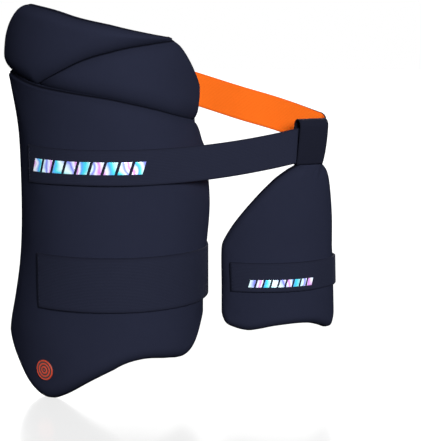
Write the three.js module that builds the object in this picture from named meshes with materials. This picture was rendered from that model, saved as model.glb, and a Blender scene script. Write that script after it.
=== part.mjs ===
// A cricket thigh guard for both legs: a long outer thigh pad with two hip panels above it,
// a short inner thigh pad that hangs from the waist belt, and the straps that hold them.
// Millimetres and degrees. X is to the right, Y is back into the thigh, Z is up.
// The origin is on the inner face of the thigh pad, where it seats on the front of the thigh.
import * as THREE from "three";

// Thigh pad and hip panels
const thighRadius = 82;
const padThickness = 16;
const padHeight = 400;
const seatAboveTip = 178.5;
const padHalfWidth = 99;
const padWrap = 80;
const padRim = 6;
const upperPanelLift = 2;
const middlePanelLift = 1;
const seamGap = 0.6;
const seamStep = 0.04;
const layerGap = 0.3;
const seatGap = 0.5;
const anchorGap = 0.8;

// Inner thigh pad
const innerPadThickness = 12;
const innerPadWidth = 120;
const innerPadHeight = 174;
const innerPadCurve = 95;
const innerPadYaw = 10;
const innerPadRim = 5;

// Straps
const waistStrapWidth = 36.5;
const waistStrapLevel = 61.5;
const beltLayer = 1.2;
const beltReach = 213.3;
const beltDepth = 67;
const beltRise = 19.5;
const beltTurnRadius = 9.5;
const beltTurnClimb = 6.5;
const hipAnchorLevel = 177;
const thighStrapWidth = 56;
const thighStrapLevel = -56.5;
const innerStrapWidth = 31;
const innerStrapDrop = 116.5;
const strapThickness = 2.6;
const strapLap = 22;
const leanFade = 3;

// Hanger loop and roundel
const hangerLength = 29.3;
const hangerOverrun = 4.2;
const hangerWall = 1.5;
const hangerHeadroom = 2.4;
const hangerSlotHeight = 44.4;
const hangerSlotDepth = 6.4;
const neckFromTurn = 15;
const roundelDiameter = 21.5;
const roundelThickness = 1.2;

// Breadth of the crowned face: up is a share of padHeight above the tip, and left, right and
// front are shares of padHalfWidth from the axis of the thigh.
const padSections = [
  { up: 0.0, left: 1.17, right: 0.95, front: 1.01 },
  { up: 0.15, left: 1.185, right: 0.95, front: 1.0 },
  { up: 0.26, left: 1.115, right: 0.963, front: 0.99 },
  { up: 0.37, left: 1.055, right: 0.995, front: 0.99 },
  { up: 0.49, left: 1.035, right: 1.025, front: 0.99 },
  { up: 0.6, left: 1.035, right: 0.99, front: 0.99 },
  { up: 0.69, left: 1.055, right: 0.93, front: 0.985 },
  { up: 0.8, left: 1.125, right: 0.9, front: 0.975 },
  { up: 0.86, left: 1.17, right: 0.885, front: 0.965 },
  { up: 0.92, left: 1.15, right: 0.87, front: 0.955 },
  { up: 1.0, left: 1.08, right: 0.87, front: 0.94 },
];

// Edges and creases: around is a share of padWrap, from the left edge to the right edge,
// and up is a share of padHeight above the tip.
const padLowerEdge = [
  { around: -1, up: 0.14 },
  { around: -0.82, up: 0.077 },
  { around: -0.66, up: 0.022 },
  { around: -0.5, up: -0.003 },
  { around: -0.36, up: 0.01 },
  { around: -0.12, up: 0.06 },
  { around: 0.08, up: 0.096 },
  { around: 0.28, up: 0.11 },
  { around: 0.5, up: 0.102 },
  { around: 0.68, up: 0.095 },
  { around: 0.82, up: 0.116 },
  { around: 1, up: 0.175 },
];
const hipCrease = [
  { around: -1, up: 0.832 },
  { around: -0.75, up: 0.812 },
  { around: -0.55, up: 0.797 },
  { around: -0.26, up: 0.782 },
  { around: 0, up: 0.768 },
  { around: 0.37, up: 0.741 },
  { around: 0.58, up: 0.723 },
  { around: 0.8, up: 0.708 },
  { around: 1, up: 0.698 },
];
const flapCrease = [
  { around: -0.55, up: 0.798 },
  { around: -0.38, up: 0.825 },
  { around: -0.14, up: 0.866 },
  { around: 0.08, up: 0.888 },
  { around: 0.38, up: 0.902 },
  { around: 0.58, up: 0.908 },
];
const hipBackEdge = [
  { around: 0.58, up: 0.908 },
  { around: 0.66, up: 0.893 },
  { around: 0.77, up: 0.859 },
  { around: 0.89, up: 0.816 },
  { around: 1, up: 0.772 },
];
const hipTopEdge = [
  { around: -1, up: 0.925 },
  { around: -0.93, up: 0.962 },
  { around: -0.83, up: 0.99 },
  { around: -0.74, up: 1.0 },
  { around: -0.64, up: 0.998 },
  { around: -0.42, up: 0.985 },
  { around: -0.2, up: 0.964 },
  { around: 0.1, up: 0.942 },
  { around: 0.38, up: 0.926 },
  { around: 0.58, up: 0.917 },
];
// Rounded corners where the creases meet the two sides: up is how far the edge leaves the crease.
const padLeftCorner = [
  { around: -1, up: 0.016 },
  { around: -0.94, up: 0 },
];
const padRightCorner = [
  { around: 0.8, up: 0 },
  { around: 0.9, up: 0.014 },
  { around: 1, up: 0.072 },
];
const middleRightCorner = [
  { around: 0.84, up: 0 },
  { around: 0.93, up: 0.014 },
  { around: 1, up: 0.056 },
];
const upperLeftCorner = [
  { around: -1, up: 0.024 },
  { around: -0.92, up: 0.004 },
  { around: -0.85, up: 0 },
];

// Sides of the inner pad: up is a share of innerPadHeight above its lowest corner, and left
// and right are shares of innerPadWidth from the middle of the neck.
const innerSides = [
  { up: 0.0, left: -0.768, right: 0.318 },
  { up: 0.26, left: -0.768, right: 0.305 },
  { up: 0.48, left: -0.77, right: 0.288 },
  { up: 0.54, left: -0.755, right: 0.284 },
  { up: 0.66, left: -0.655, right: 0.274 },
  { up: 0.8, left: -0.487, right: 0.245 },
  { up: 0.915, left: -0.312, right: 0.215 },
  { up: 0.97, left: -0.2, right: 0.18 },
  { up: 1.0, left: -0.132, right: 0.132 },
];
// Lower edge of the inner pad: across runs from its left side to its right side.
const innerLowerEdge = [
  { across: 0, up: 0.1 },
  { across: 0.03, up: 0.048 },
  { across: 0.09, up: 0.02 },
  { across: 0.2, up: -0.002 },
  { across: 0.3, up: 0.004 },
  { across: 0.42, up: 0.018 },
  { across: 0.6, up: 0.026 },
  { across: 0.75, up: 0.02 },
  { across: 0.85, up: 0 },
  { across: 0.92, up: -0.018 },
  { across: 0.965, up: -0.01 },
  { across: 1, up: 0.05 },
];
const innerUpperEdge = [
  { across: 0, up: 1 },
  { across: 1, up: 1 },
];

// Way of the belt behind the body: turn is an angle round the axis of the thigh from the front,
// reach is a share of thighRadius, and rise is a share of waistStrapWidth above the belt's level.
const beltBackRoute = [
  { turn: 97.6, reach: 2.11, rise: 1.15 },
  { turn: 109, reach: 1.67, rise: 1.45 },
  { turn: 128.5, reach: 1.33, rise: 1.79 },
  { turn: 152, reach: 1.16, rise: 2.1 },
  { turn: 182, reach: 1.13, rise: 2.42 },
  { turn: 214, reach: 1.12, rise: 2.7 },
  { turn: 246, reach: 1.13, rise: 2.95 },
];
// Way of the thigh strap behind the thigh, in the same terms.
const thighStrapRoute = [
  { turn: 92, reach: 1.16 },
  { turn: 110, reach: 1.09 },
  { turn: 135, reach: 1.04 },
  { turn: 180, reach: 1.03 },
  { turn: 225, reach: 1.03 },
  { turn: 254, reach: 1.035 },
];
// Way of the inner strap behind its pad: across is a share of innerPadWidth from the neck,
// and back is a share of innerPadCurve behind the face.
const innerStrapRoute = [
  { across: 0.312, back: 0.31 },
  { across: 0.29, back: 0.46 },
  { across: 0.21, back: 0.78 },
  { across: 0.02, back: 1.02 },
  { across: -0.25, back: 1.09 },
  { across: -0.47, back: 0.95 },
  { across: -0.61, back: 0.7 },
  { across: -0.655, back: 0.48 },
];

const upAxis = new THREE.Vector3(0, 0, 1);
const toRadians = THREE.MathUtils.degToRad;

// A smooth value read from a table whose rows are sorted by one column.
function read(table, key, column, at) {
  const last = table.length - 1;
  if (at <= table[0][key]) return table[0][column];
  if (at >= table[last][key]) return table[last][column];
  const k = table.findIndex((row) => row[key] > at) - 1;
  const slope = (i) => {
    const before = table[Math.max(i - 1, 0)];
    const after = table[Math.min(i + 1, last)];
    return (after[column] - before[column]) / (after[key] - before[key]);
  };
  const span = table[k + 1][key] - table[k][key];
  const t = (at - table[k][key]) / span;
  const rise = table[k + 1][column] - table[k][column];
  const bend = t * (1 - t);
  return (
    table[k][column] +
    rise * t * t * (3 - 2 * t) +
    span * bend * (slope(k) * (1 - t) - slope(k + 1) * t)
  );
}

// Grid lines that crowd towards both ends, where a pad rolls over.
function crowded(count) {
  return Array.from({ length: count + 1 }, (_, k) => (1 - Math.cos((Math.PI * k) / count)) / 2);
}

// One closed solid from a grid of outer points and a grid of inner points.
function solidBetween(outer, inner) {
  const columns = outer.length;
  const rows = outer[0].length;
  const front = (i, j) => i * rows + j;
  const back = (i, j) => columns * rows + i * rows + j;
  const faces = [];
  const quad = (a, b, c, d) => faces.push(a, b, c, a, c, d);
  for (let i = 0; i < columns - 1; i++) {
    for (let j = 0; j < rows - 1; j++) {
      quad(front(i, j), front(i + 1, j), front(i + 1, j + 1), front(i, j + 1));
      quad(back(i, j), back(i, j + 1), back(i + 1, j + 1), back(i + 1, j));
    }
    quad(back(i, 0), back(i + 1, 0), front(i + 1, 0), front(i, 0));
    quad(front(i, rows - 1), front(i + 1, rows - 1), back(i + 1, rows - 1), back(i, rows - 1));
  }
  for (let j = 0; j < rows - 1; j++) {
    const end = columns - 1;
    quad(front(0, j), front(0, j + 1), back(0, j + 1), back(0, j));
    quad(front(end, j), back(end, j), back(end, j + 1), front(end, j + 1));
  }
  const geometry = new THREE.BufferGeometry();
  geometry.setFromPoints([...outer.flat(), ...inner.flat()]);
  geometry.setIndex(faces);
  geometry.computeVertexNormals();
  return geometry;
}

// Distance from a flat point to a chain of flat points.
function distanceTo(chain, point) {
  let nearest = Infinity;
  for (let k = 1; k < chain.length; k++) {
    const along = chain[k].clone().sub(chain[k - 1]);
    const reach = point.clone().sub(chain[k - 1]);
    const share = THREE.MathUtils.clamp(reach.dot(along) / along.lengthSq(), 0, 1);
    nearest = Math.min(nearest, reach.sub(along.multiplyScalar(share)).length());
  }
  return nearest;
}

// How far a rounded edge falls below the face, at a distance from the edge.
function rolledDrop(distance, { width, drop }) {
  const inwards = Math.min(distance / width, 1);
  return drop * (1 - Math.sqrt(1 - (1 - inwards) ** 2));
}

// The outward normal of a face that is given as a function of two numbers.
function normalOf(face, a, b, stepA, stepB) {
  const along = face(a + stepA, b).sub(face(a - stepA, b));
  const up = face(a, b + stepB).sub(face(a, b - stepB));
  return along.cross(up).normalize();
}

// A padded panel on a face: its outline is a lower and an upper edge between two sides, its
// outer face rolls down at each edge, and its inner face is flat against the body.
function paddedPanel({ face, flat, from, to, lower, upper, lift, thickness, rolls, cells }) {
  const step = (to - from) / 400;
  const edgeSamples = 60;
  const chain = (edge) =>
    Array.from({ length: edgeSamples + 1 }, (_, k) => {
      const a = from + ((to - from) * k) / edgeSamples;
      return flat(a, edge(a));
    });
  const side = (a) =>
    Array.from({ length: edgeSamples + 1 }, (_, k) =>
      flat(a, lower(a) + ((upper(a) - lower(a)) * k) / edgeSamples),
    );
  const edges = [
    { chain: chain(lower), roll: rolls.lower },
    { chain: chain(upper), roll: rolls.upper },
    { chain: side(from), roll: rolls.left },
    { chain: side(to), roll: rolls.right },
  ];
  const sharpness = 3;
  const dropAt = (a, z) => {
    const spot = flat(a, z);
    const sum = edges.reduce(
      (total, edge) => total + rolledDrop(distanceTo(edge.chain, spot), edge.roll) ** sharpness,
      0,
    );
    return Math.min(sum ** (1 / sharpness), Math.max(...edges.map((edge) => edge.roll.drop)));
  };
  const outer = [];
  const inner = [];
  for (const shareA of crowded(cells.across)) {
    const a = from + (to - from) * shareA;
    const bottom = lower(a);
    const top = upper(a);
    const columnOut = [];
    const columnIn = [];
    for (const shareZ of crowded(cells.up)) {
      const z = bottom + (top - bottom) * shareZ;
      const point = face(a, z);
      const normal = normalOf(face, a, z, step, 0.5);
      columnOut.push(point.clone().addScaledVector(normal, lift - dropAt(a, z)));
      columnIn.push(point.clone().addScaledVector(normal, -thickness));
    }
    outer.push(columnOut);
    inner.push(columnIn);
  }
  return solidBetween(outer, inner);
}

// A strap through stations: each station is a row of places across its width, from its lower
// edge to its upper edge, each with a point of the strap's middle and the outward direction.
function strapThrough(stations, insideOffset, outsideOffset) {
  const shifted = (offset) =>
    stations.map((row) => row.map(({ point, out }) => point.clone().addScaledVector(out, offset)));
  return solidBetween(shifted(outsideOffset), shifted(insideOffset));
}

// Shares of a strap's width at which its places lie.
function acrossStrap(count) {
  return Array.from({ length: count + 1 }, (_, k) => k / count - 0.5);
}

// The direction across a station, from its lower edge to its upper edge.
const leanOf = (station) => station.at(-1).point.clone().sub(station[0].point).normalize();

// Stations along a free route in space: the strap stands upright between its two ends, where
// it takes on the lean of the stations it joins, and its width is square to the route.
function freeStations(points, width, placesAcross, startLean, endLean) {
  return points.map((point, k) => {
    const before = points[Math.max(k - 1, 0)];
    const after = points[Math.min(k + 1, points.length - 1)];
    const heading = after.clone().sub(before).normalize();
    const share = k / (points.length - 1);
    const lean = upAxis
      .clone()
      .lerp(startLean, (1 - share) ** leanFade)
      .lerp(endLean, share ** leanFade);
    const out = heading.clone().cross(lean).normalize();
    const side = out.clone().cross(heading).normalize();
    return acrossStrap(placesAcross).map((share) => ({
      point: point.clone().addScaledVector(side, share * width),
      out,
    }));
  });
}

// The crowned face of the thigh pad and hip panels, at a share of padWrap and a height.
function padFace(around, z) {
  const up = (z + seatAboveTip) / padHeight;
  const angle = toRadians(around * padWrap);
  const half = read(padSections, "up", around < 0 ? "left" : "right", up) * padHalfWidth;
  const front = read(padSections, "up", "front", up) * padHalfWidth;
  return new THREE.Vector3(half * Math.sin(angle), axisDepth - front * Math.cos(angle), z);
}

// Depth of the thigh's axis, which puts the inner face of the pad at the origin.
const seatUp = seatAboveTip / padHeight;
const axisDepth = read(padSections, "up", "front", seatUp) * padHalfWidth - padThickness;

// The share of padWrap at which the crowned face has a given x at a given height.
function aroundAt(x, z) {
  const quarter = 90 / padWrap;
  const sine = x / Math.abs(padFace(x < 0 ? -quarter : quarter, z).x);
  return THREE.MathUtils.radToDeg(Math.asin(sine)) / padWrap;
}

const padNormal = (around, z) => normalOf(padFace, around, z, 0.005, 0.5);
const padFlat = (around, z) => new THREE.Vector2(around * toRadians(padWrap) * padHalfWidth, z);
const heightOf = (up) => up * padHeight - seatAboveTip;
const padEdge = (table, around) => heightOf(read(table, "around", "up", around));
const cornerOf = (table, around) => read(table, "around", "up", around) * padHeight;

// One panel of the outer guard; its creases keep half of seamGap from their line.
function outerPanel({ from, to, lower, upper, lift, rolls, cells }) {
  return paddedPanel({
    face: padFace,
    flat: padFlat,
    from,
    to,
    lower,
    upper,
    lift,
    thickness: padThickness,
    rolls,
    cells,
  });
}

const freeRoll = { width: 13, drop: padThickness - padRim };
const overSeamRoll = { width: 11, drop: 6 };
const underSeamRoll = { width: 4, drop: 3.5 };
const creaseStart = flapCrease[0].around;
const creaseEnd = flapCrease.at(-1).around;

const thighPad = outerPanel({
  from: -1,
  to: 1,
  lower: (around) => padEdge(padLowerEdge, around),
  upper: (around) =>
    padEdge(hipCrease, around) -
    cornerOf(padLeftCorner, around) -
    cornerOf(padRightCorner, around) -
    seamGap / 2,
  lift: 0,
  rolls: { lower: freeRoll, upper: underSeamRoll, left: freeRoll, right: freeRoll },
  cells: { across: 24, up: 20 },
});
const hipPanelMiddle = outerPanel({
  from: creaseStart + seamStep,
  to: 1,
  lower: (around) =>
    padEdge(hipCrease, around) + cornerOf(middleRightCorner, around) + seamGap / 2,
  upper: (around) =>
    padEdge(around < creaseEnd ? flapCrease : hipBackEdge, around) - seamGap / 2,
  lift: middlePanelLift,
  rolls: { lower: overSeamRoll, upper: underSeamRoll, left: underSeamRoll, right: freeRoll },
  cells: { across: 20, up: 8 },
});
const hipPanelUpper = outerPanel({
  from: -1,
  to: creaseEnd,
  lower: (around) =>
    around < creaseStart
      ? padEdge(hipCrease, around) + cornerOf(upperLeftCorner, around) + seamGap / 2
      : padEdge(flapCrease, around) + seamGap / 2,
  upper: (around) => padEdge(hipTopEdge, around),
  lift: upperPanelLift,
  rolls: { lower: overSeamRoll, upper: freeRoll, left: freeRoll, right: underSeamRoll },
  cells: { across: 20, up: 9 },
});

// Stations that lie on the thigh pad's outer face (offset outwards) or inner face (inwards).
// On the outer face the ends of a strap stand upright, so they keep one x across its width.
function stationsOnPad(fromAngle, toAngle, count, level, width, placesAcross, offset) {
  return Array.from({ length: count + 1 }, (_, k) => {
    const middle = (fromAngle + ((toAngle - fromAngle) * k) / count) / padWrap;
    const x = padFace(middle, level).x;
    return acrossStrap(placesAcross).map((share) => {
      const z = level + share * width;
      const around = offset > 0 ? aroundAt(x, z) : middle;
      const normal = padNormal(around, z);
      return { point: padFace(around, z).addScaledVector(normal, offset), out: normal };
    });
  });
}

// The middle of a station, as one point.
const middleOf = (station) =>
  station.reduce((sum, { point }) => sum.add(point), new THREE.Vector3()).divideScalar(station.length);

// A point at an angle round the thigh's axis from the front, at a radius and a height.
function roundThigh(turn, radius, z) {
  const angle = toRadians(turn);
  return new THREE.Vector3(
    radius * Math.sin(angle),
    axisDepth - radius * Math.cos(angle),
    z,
  );
}

// The angle at which a straight line to a far point leaves the pad's face at one height.
function leavingAngle(target, z) {
  const quarter = padFace(90 / padWrap, z).x;
  const front = axisDepth - padFace(0, z).y;
  const a = target.x / quarter;
  const b = (axisDepth - target.y) / front;
  return THREE.MathUtils.radToDeg(Math.atan2(a, b) - Math.acos(1 / Math.hypot(a, b)));
}

// The waist belt: fastened on the pad's face, straight to the turn, and back round the body.
const beltHalf = beltLayer + layerGap / 2;
const beltOnFace = seatGap + beltHalf;
const beltTurnStart = new THREE.Vector3(beltReach, beltDepth, waistStrapLevel + beltRise);
const beltEndAngle = -54.5;
const beltLeaves = leavingAngle(beltTurnStart, waistStrapLevel);

function beltStations() {
  const across = 3;
  const onFace = stationsOnPad(
    beltEndAngle, beltLeaves, 12, waistStrapLevel, waistStrapWidth, across, beltOnFace,
  );
  const leave = middleOf(onFace.at(-1));
  const straightCount = 9;
  const straight = Array.from({ length: straightCount }, (_, k) => {
    const share = (k + 1) / straightCount;
    const point = leave.clone().lerp(beltTurnStart, share);
    point.z = leave.z + (beltTurnStart.z - leave.z) * share * share;
    return point;
  });
  const heading = beltTurnStart.clone().sub(leave).setZ(0).normalize();
  const leftwards = new THREE.Vector3(-heading.y, heading.x, 0);
  const centre = beltTurnStart.clone().addScaledVector(leftwards, beltTurnRadius);
  const route = beltBackRoute.map(({ turn, reach, rise }) =>
    roundThigh(turn, reach * thighRadius, waistStrapLevel + rise * waistStrapWidth),
  );
  const turnAngle = 125;
  const turnCount = 7;
  const turn = Array.from({ length: turnCount }, (_, k) => {
    const angle = toRadians((turnAngle * (k + 1)) / turnCount);
    const spoke = leftwards.clone().negate().applyAxisAngle(upAxis, angle);
    const point = centre.clone().addScaledVector(spoke, beltTurnRadius);
    point.z += ((k + 1) / turnCount) * beltTurnClimb;
    return point;
  });
  const onHip = stationsOnPad(
    -padWrap + 3, -padWrap + 3 + strapLapAngle, 4, hipAnchorLevel, waistStrapWidth, across,
    -padThickness - anchorGap - beltHalf,
  );
  const backCurve = new THREE.CatmullRomCurve3(
    [turn.at(-1), ...route, middleOf(onHip[0]), middleOf(onHip.at(-1))], false, "centripetal",
  );
  const backSamples = 160;
  const backCount = 26;
  const backEnd = (route.length + 1) / (route.length + 2);
  const back = Array.from({ length: backCount }, (_, k) =>
    backCurve.getPoint((backEnd * (k + 1) * backSamples) / (backSamples * (backCount + 1))),
  );
  const free = freeStations(
    [leave, ...straight, ...turn, ...back, middleOf(onHip[0])],
    waistStrapWidth, across, leanOf(onFace.at(-1)), leanOf(onHip[0]),
  );
  return [...onFace, ...free.slice(1, -1), ...onHip];
}

const strapLapAngle = THREE.MathUtils.radToDeg(strapLap / thighRadius);

const belt = beltStations();
const waistBelt = strapThrough(belt, layerGap / 2, beltHalf);
const waistBeltLining = strapThrough(belt, -beltHalf, -layerGap / 2);

// The thigh strap: fastened on the pad's face, round the thigh, and sewn inside the left edge.
function thighStrapStations() {
  const across = 3;
  const onFace = stationsOnPad(
    -45, 77, 19, thighStrapLevel, thighStrapWidth, across, seatGap + strapThickness / 2,
  );
  const onBack = stationsOnPad(
    -padWrap + 3, -padWrap + 3 + strapLapAngle, 4, thighStrapLevel, thighStrapWidth, across,
    -padThickness - anchorGap - strapThickness / 2,
  );
  const route = thighStrapRoute.map(({ turn, reach }) =>
    roundThigh(turn, reach * thighRadius, thighStrapLevel),
  );
  const curve = new THREE.CatmullRomCurve3(
    [middleOf(onFace.at(-2)), middleOf(onFace.at(-1)), ...route, middleOf(onBack[0]), middleOf(onBack.at(-1))],
    false, "centripetal",
  );
  const segments = route.length + 3;
  const count = 36;
  const points = Array.from({ length: count + 1 }, (_, k) =>
    curve.getPoint((1 + ((segments - 2) * k) / count) / segments),
  );
  const free = freeStations(
    points, thighStrapWidth, across, leanOf(onFace.at(-1)), leanOf(onBack[0]),
  );
  return [...onFace, ...free.slice(1, -1), ...onBack];
}
const thighStrap = strapThrough(thighStrapStations(), -strapThickness / 2, strapThickness / 2);

// The hanger loop: a flat tunnel of webbing round the belt, just before the belt's turn.
const beltHeading = beltTurnStart.clone().sub(middleOf(belt[12])).setZ(0).normalize();
const beltSideways = new THREE.Vector3(-beltHeading.y, beltHeading.x, 0);
const hangerEnd = beltTurnStart.clone().addScaledVector(beltHeading, hangerOverrun);
const hangerSlotTop = waistStrapLevel + beltRise + waistStrapWidth / 2 + hangerHeadroom;

function hangerLoop() {
  const ring = (halfDepth, top, bottom) => {
    const path = new THREE.Path();
    path.moveTo(-halfDepth, bottom);
    path.lineTo(halfDepth, bottom);
    path.lineTo(halfDepth, top - halfDepth);
    path.absarc(0, top - halfDepth, halfDepth, 0, Math.PI, false);
    path.lineTo(-halfDepth, bottom);
    return path;
  };
  const slotHalf = hangerSlotDepth / 2;
  const outline = new THREE.Shape(
    ring(slotHalf + hangerWall, hangerWall, -hangerSlotHeight - hangerWall).getPoints(8),
  );
  outline.holes.push(new THREE.Path(ring(slotHalf, 0, -hangerSlotHeight).getPoints(8)));
  return new THREE.ExtrudeGeometry(outline, { depth: hangerLength, steps: 1, bevelEnabled: false });
}

// The inner pad in its own frame: the origin is the middle of its neck, at the top.
const innerHalfCurve = -0.26;
const innerCrownX = innerHalfCurve * innerPadWidth;
const innerSag = (x) => innerPadCurve - Math.sqrt(innerPadCurve ** 2 - (x - innerCrownX) ** 2);
const neckFront = hangerSlotDepth / 2 + hangerWall;

function innerFace(across, z) {
  const up = 1 + z / innerPadHeight;
  const left = read(innerSides, "up", "left", up) * innerPadWidth;
  const right = read(innerSides, "up", "right", up) * innerPadWidth;
  const x = left + (right - left) * across;
  return new THREE.Vector3(x, innerSag(x) - innerSag(0) - neckFront, z);
}
const innerFlat = (across, z) => {
  const point = innerFace(across, z);
  return new THREE.Vector2(point.x, z);
};
const innerEdge = (table) => (across) => (read(table, "across", "up", across) - 1) * innerPadHeight;

const innerFreeRoll = { width: 9, drop: innerPadThickness - innerPadRim };
const innerNeckRoll = { width: 12, drop: innerPadThickness - innerPadRim - 1 };
const innerPad = paddedPanel({
  face: innerFace,
  flat: innerFlat,
  from: 0,
  to: 1,
  lower: innerEdge(innerLowerEdge),
  upper: innerEdge(innerUpperEdge),
  lift: 0,
  thickness: innerPadThickness,
  rolls: { lower: innerFreeRoll, upper: innerNeckRoll, left: innerFreeRoll, right: innerFreeRoll },
  cells: { across: 16, up: 16 },
});

// The inner strap: fastened on the inner pad's face, and closed in a loop behind it.
function innerStrapStations() {
  const across = 2;
  const level = -innerStrapDrop;
  const onInner = (share, offset) =>
    acrossStrap(across).map((place) => {
      const z = level + place * innerStrapWidth;
      const normal = normalOf(innerFace, share, z, 0.005, 0.5);
      return { point: innerFace(share, z).addScaledVector(normal, offset), out: normal };
    });
  const onFace = Array.from({ length: 13 }, (_, k) =>
    onInner(0.09 + (0.86 * k) / 12, seatGap + strapThickness / 2),
  );
  const onBack = Array.from({ length: 4 }, (_, k) =>
    onInner(0.03 + (0.17 * k) / 3, -innerPadThickness - anchorGap - strapThickness / 2),
  );
  const route = innerStrapRoute.map(
    ({ across: share, back }) =>
      new THREE.Vector3(share * innerPadWidth, back * innerPadCurve, level),
  );
  const curve = new THREE.CatmullRomCurve3(
    [middleOf(onFace.at(-2)), middleOf(onFace.at(-1)), ...route, middleOf(onBack[0]), middleOf(onBack.at(-1))],
    false, "centripetal",
  );
  const segments = route.length + 3;
  const count = 38;
  const points = Array.from({ length: count + 1 }, (_, k) =>
    curve.getPoint((1 + ((segments - 2) * k) / count) / segments),
  );
  const free = freeStations(
    points, innerStrapWidth, across, leanOf(onFace.at(-1)), leanOf(onBack[0]),
  );
  return [...onFace, ...free.slice(1, -1), ...onBack];
}
const innerStrap = strapThrough(innerStrapStations(), -strapThickness / 2, strapThickness / 2);

// The roundel: a thin moulded disc that follows the face near the lower tip.
function roundel() {
  const around = -0.475;
  const level = -149;
  const cells = 8;
  const lines = Array.from({ length: cells + 1 }, (_, k) => (2 * k) / cells - 1);
  const grid = (offset) =>
    lines.map((u) =>
      lines.map((v) => {
        const sideways = u * Math.sqrt(1 - (v * v) / 2) * (roundelDiameter / 2);
        const upwards = v * Math.sqrt(1 - (u * u) / 2) * (roundelDiameter / 2);
        const share = around + sideways / (padHalfWidth * toRadians(padWrap));
        const z = level + upwards;
        return padFace(share, z).addScaledVector(padNormal(share, z), offset);
      }),
    );
  return solidBetween(grid(seatGap + roundelThickness), grid(seatGap));
}

// Finishes
const navyKnit = new THREE.MeshStandardMaterial({ color: 0x282b3c, roughness: 0.85 });
const navyElastic = new THREE.MeshStandardMaterial({ color: 0x2a2d3f, roughness: 0.8 });
const orangeElastic = new THREE.MeshStandardMaterial({ color: 0xff6d1f, roughness: 0.75 });
const orangeRubber = new THREE.MeshStandardMaterial({ color: 0xc9481f, roughness: 0.5 });

function piece(name, geometry, material) {
  const mesh = new THREE.Mesh(geometry, material);
  mesh.name = name;
  return mesh;
}

const outerGuard = new THREE.Group();
outerGuard.add(
  piece("thigh_pad", thighPad, navyKnit),
  piece("hip_panel_middle", hipPanelMiddle, navyKnit),
  piece("hip_panel_upper", hipPanelUpper, navyKnit),
  piece("roundel", roundel(), orangeRubber),
  piece("thigh_strap", thighStrap, navyElastic),
  piece("waist_belt", waistBelt, navyElastic),
  piece("waist_belt_lining", waistBeltLining, orangeElastic),
);

const hanger = piece("hanger_loop", hangerLoop(), navyElastic);
hanger.quaternion.setFromRotationMatrix(
  new THREE.Matrix4().makeBasis(beltSideways, upAxis, beltHeading),
);
hanger.position
  .copy(hangerEnd)
  .addScaledVector(beltHeading, -hangerLength)
  .setZ(hangerSlotTop);

const innerGuard = new THREE.Group();
innerGuard.position
  .copy(beltTurnStart)
  .addScaledVector(beltHeading, -neckFromTurn)
  .setZ(hangerSlotTop - hangerSlotHeight - hangerWall - seatGap);
innerGuard.rotation.z = toRadians(innerPadYaw);
innerGuard.add(
  piece("inner_pad", innerPad, navyKnit),
  piece("inner_strap", innerStrap, navyElastic),
);

const guard = new THREE.Group();
guard.add(outerGuard, hanger, innerGuard);

export default guard;
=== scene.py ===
# %% [markdown]
# A cricket thigh guard protects the front of both thighs. The outer guard is a long foam pad with
# two hip flaps above it, and the inner guard is a short pad that hangs from the same waist belt.
# Foam under a tight knit has smooth crowned faces and edges that roll over, and the straps are
# woven elastic. The packed frame comes first, because every piece is made where the frame has it.

# %% Start from the frame
import math

import bpy
import numpy as np
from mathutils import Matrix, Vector


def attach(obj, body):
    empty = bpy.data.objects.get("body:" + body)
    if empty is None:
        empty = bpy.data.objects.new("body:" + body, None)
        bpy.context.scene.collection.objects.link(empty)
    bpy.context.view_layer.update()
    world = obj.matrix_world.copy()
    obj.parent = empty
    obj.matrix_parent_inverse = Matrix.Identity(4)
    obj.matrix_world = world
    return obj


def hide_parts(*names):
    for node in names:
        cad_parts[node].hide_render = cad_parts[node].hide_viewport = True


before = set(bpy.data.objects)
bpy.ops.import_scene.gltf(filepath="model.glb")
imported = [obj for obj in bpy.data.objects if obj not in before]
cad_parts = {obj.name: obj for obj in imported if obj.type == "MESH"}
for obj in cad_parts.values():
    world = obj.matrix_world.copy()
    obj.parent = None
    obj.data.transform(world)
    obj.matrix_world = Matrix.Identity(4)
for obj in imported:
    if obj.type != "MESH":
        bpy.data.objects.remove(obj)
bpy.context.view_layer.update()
MM = 0.001
print("nodes in the frame:", sorted(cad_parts))

# %% [markdown]
# The photograph was taken from a little above, with a long lens, so its camera is set before
# anything else. It looks 9.5 degrees down at a point beside the outer pad. Blender measures a lens
# against a sensor 36 mm long, which here lies along the taller side of the picture.

# %% Set the camera
PICTURE_HEIGHT = 441
FOCAL_IN_PIXELS = 1360
LOOK_DOWN = math.radians(9.5)
LOOK_AT = np.array([98.0, 40.0, 0.0]) * MM
CAMERA_DISTANCE = 1400 * MM
SENSOR_LENGTH = 36.0


def set_camera():
    data = bpy.data.cameras.new("camera")
    data.sensor_width = SENSOR_LENGTH
    data.lens = FOCAL_IN_PIXELS * SENSOR_LENGTH / PICTURE_HEIGHT
    camera = bpy.data.objects.new("camera", data)
    sight = np.array([0.0, math.cos(LOOK_DOWN), -math.sin(LOOK_DOWN)])
    camera.location = LOOK_AT - sight * CAMERA_DISTANCE
    camera.rotation_euler = (math.radians(90) - LOOK_DOWN, 0.0, 0.0)
    bpy.context.collection.objects.link(camera)
    bpy.context.scene.camera = camera
    return data.lens


print("lens in millimetres:", round(set_camera(), 1))

# %% [markdown]
# A finish is easier to read as a sum than as a web of nodes. This small class wraps one socket, so
# that an expression on values adds its own Math nodes. The reflected forms let a plain number stand
# on the left, as in 1 - mask.

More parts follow.
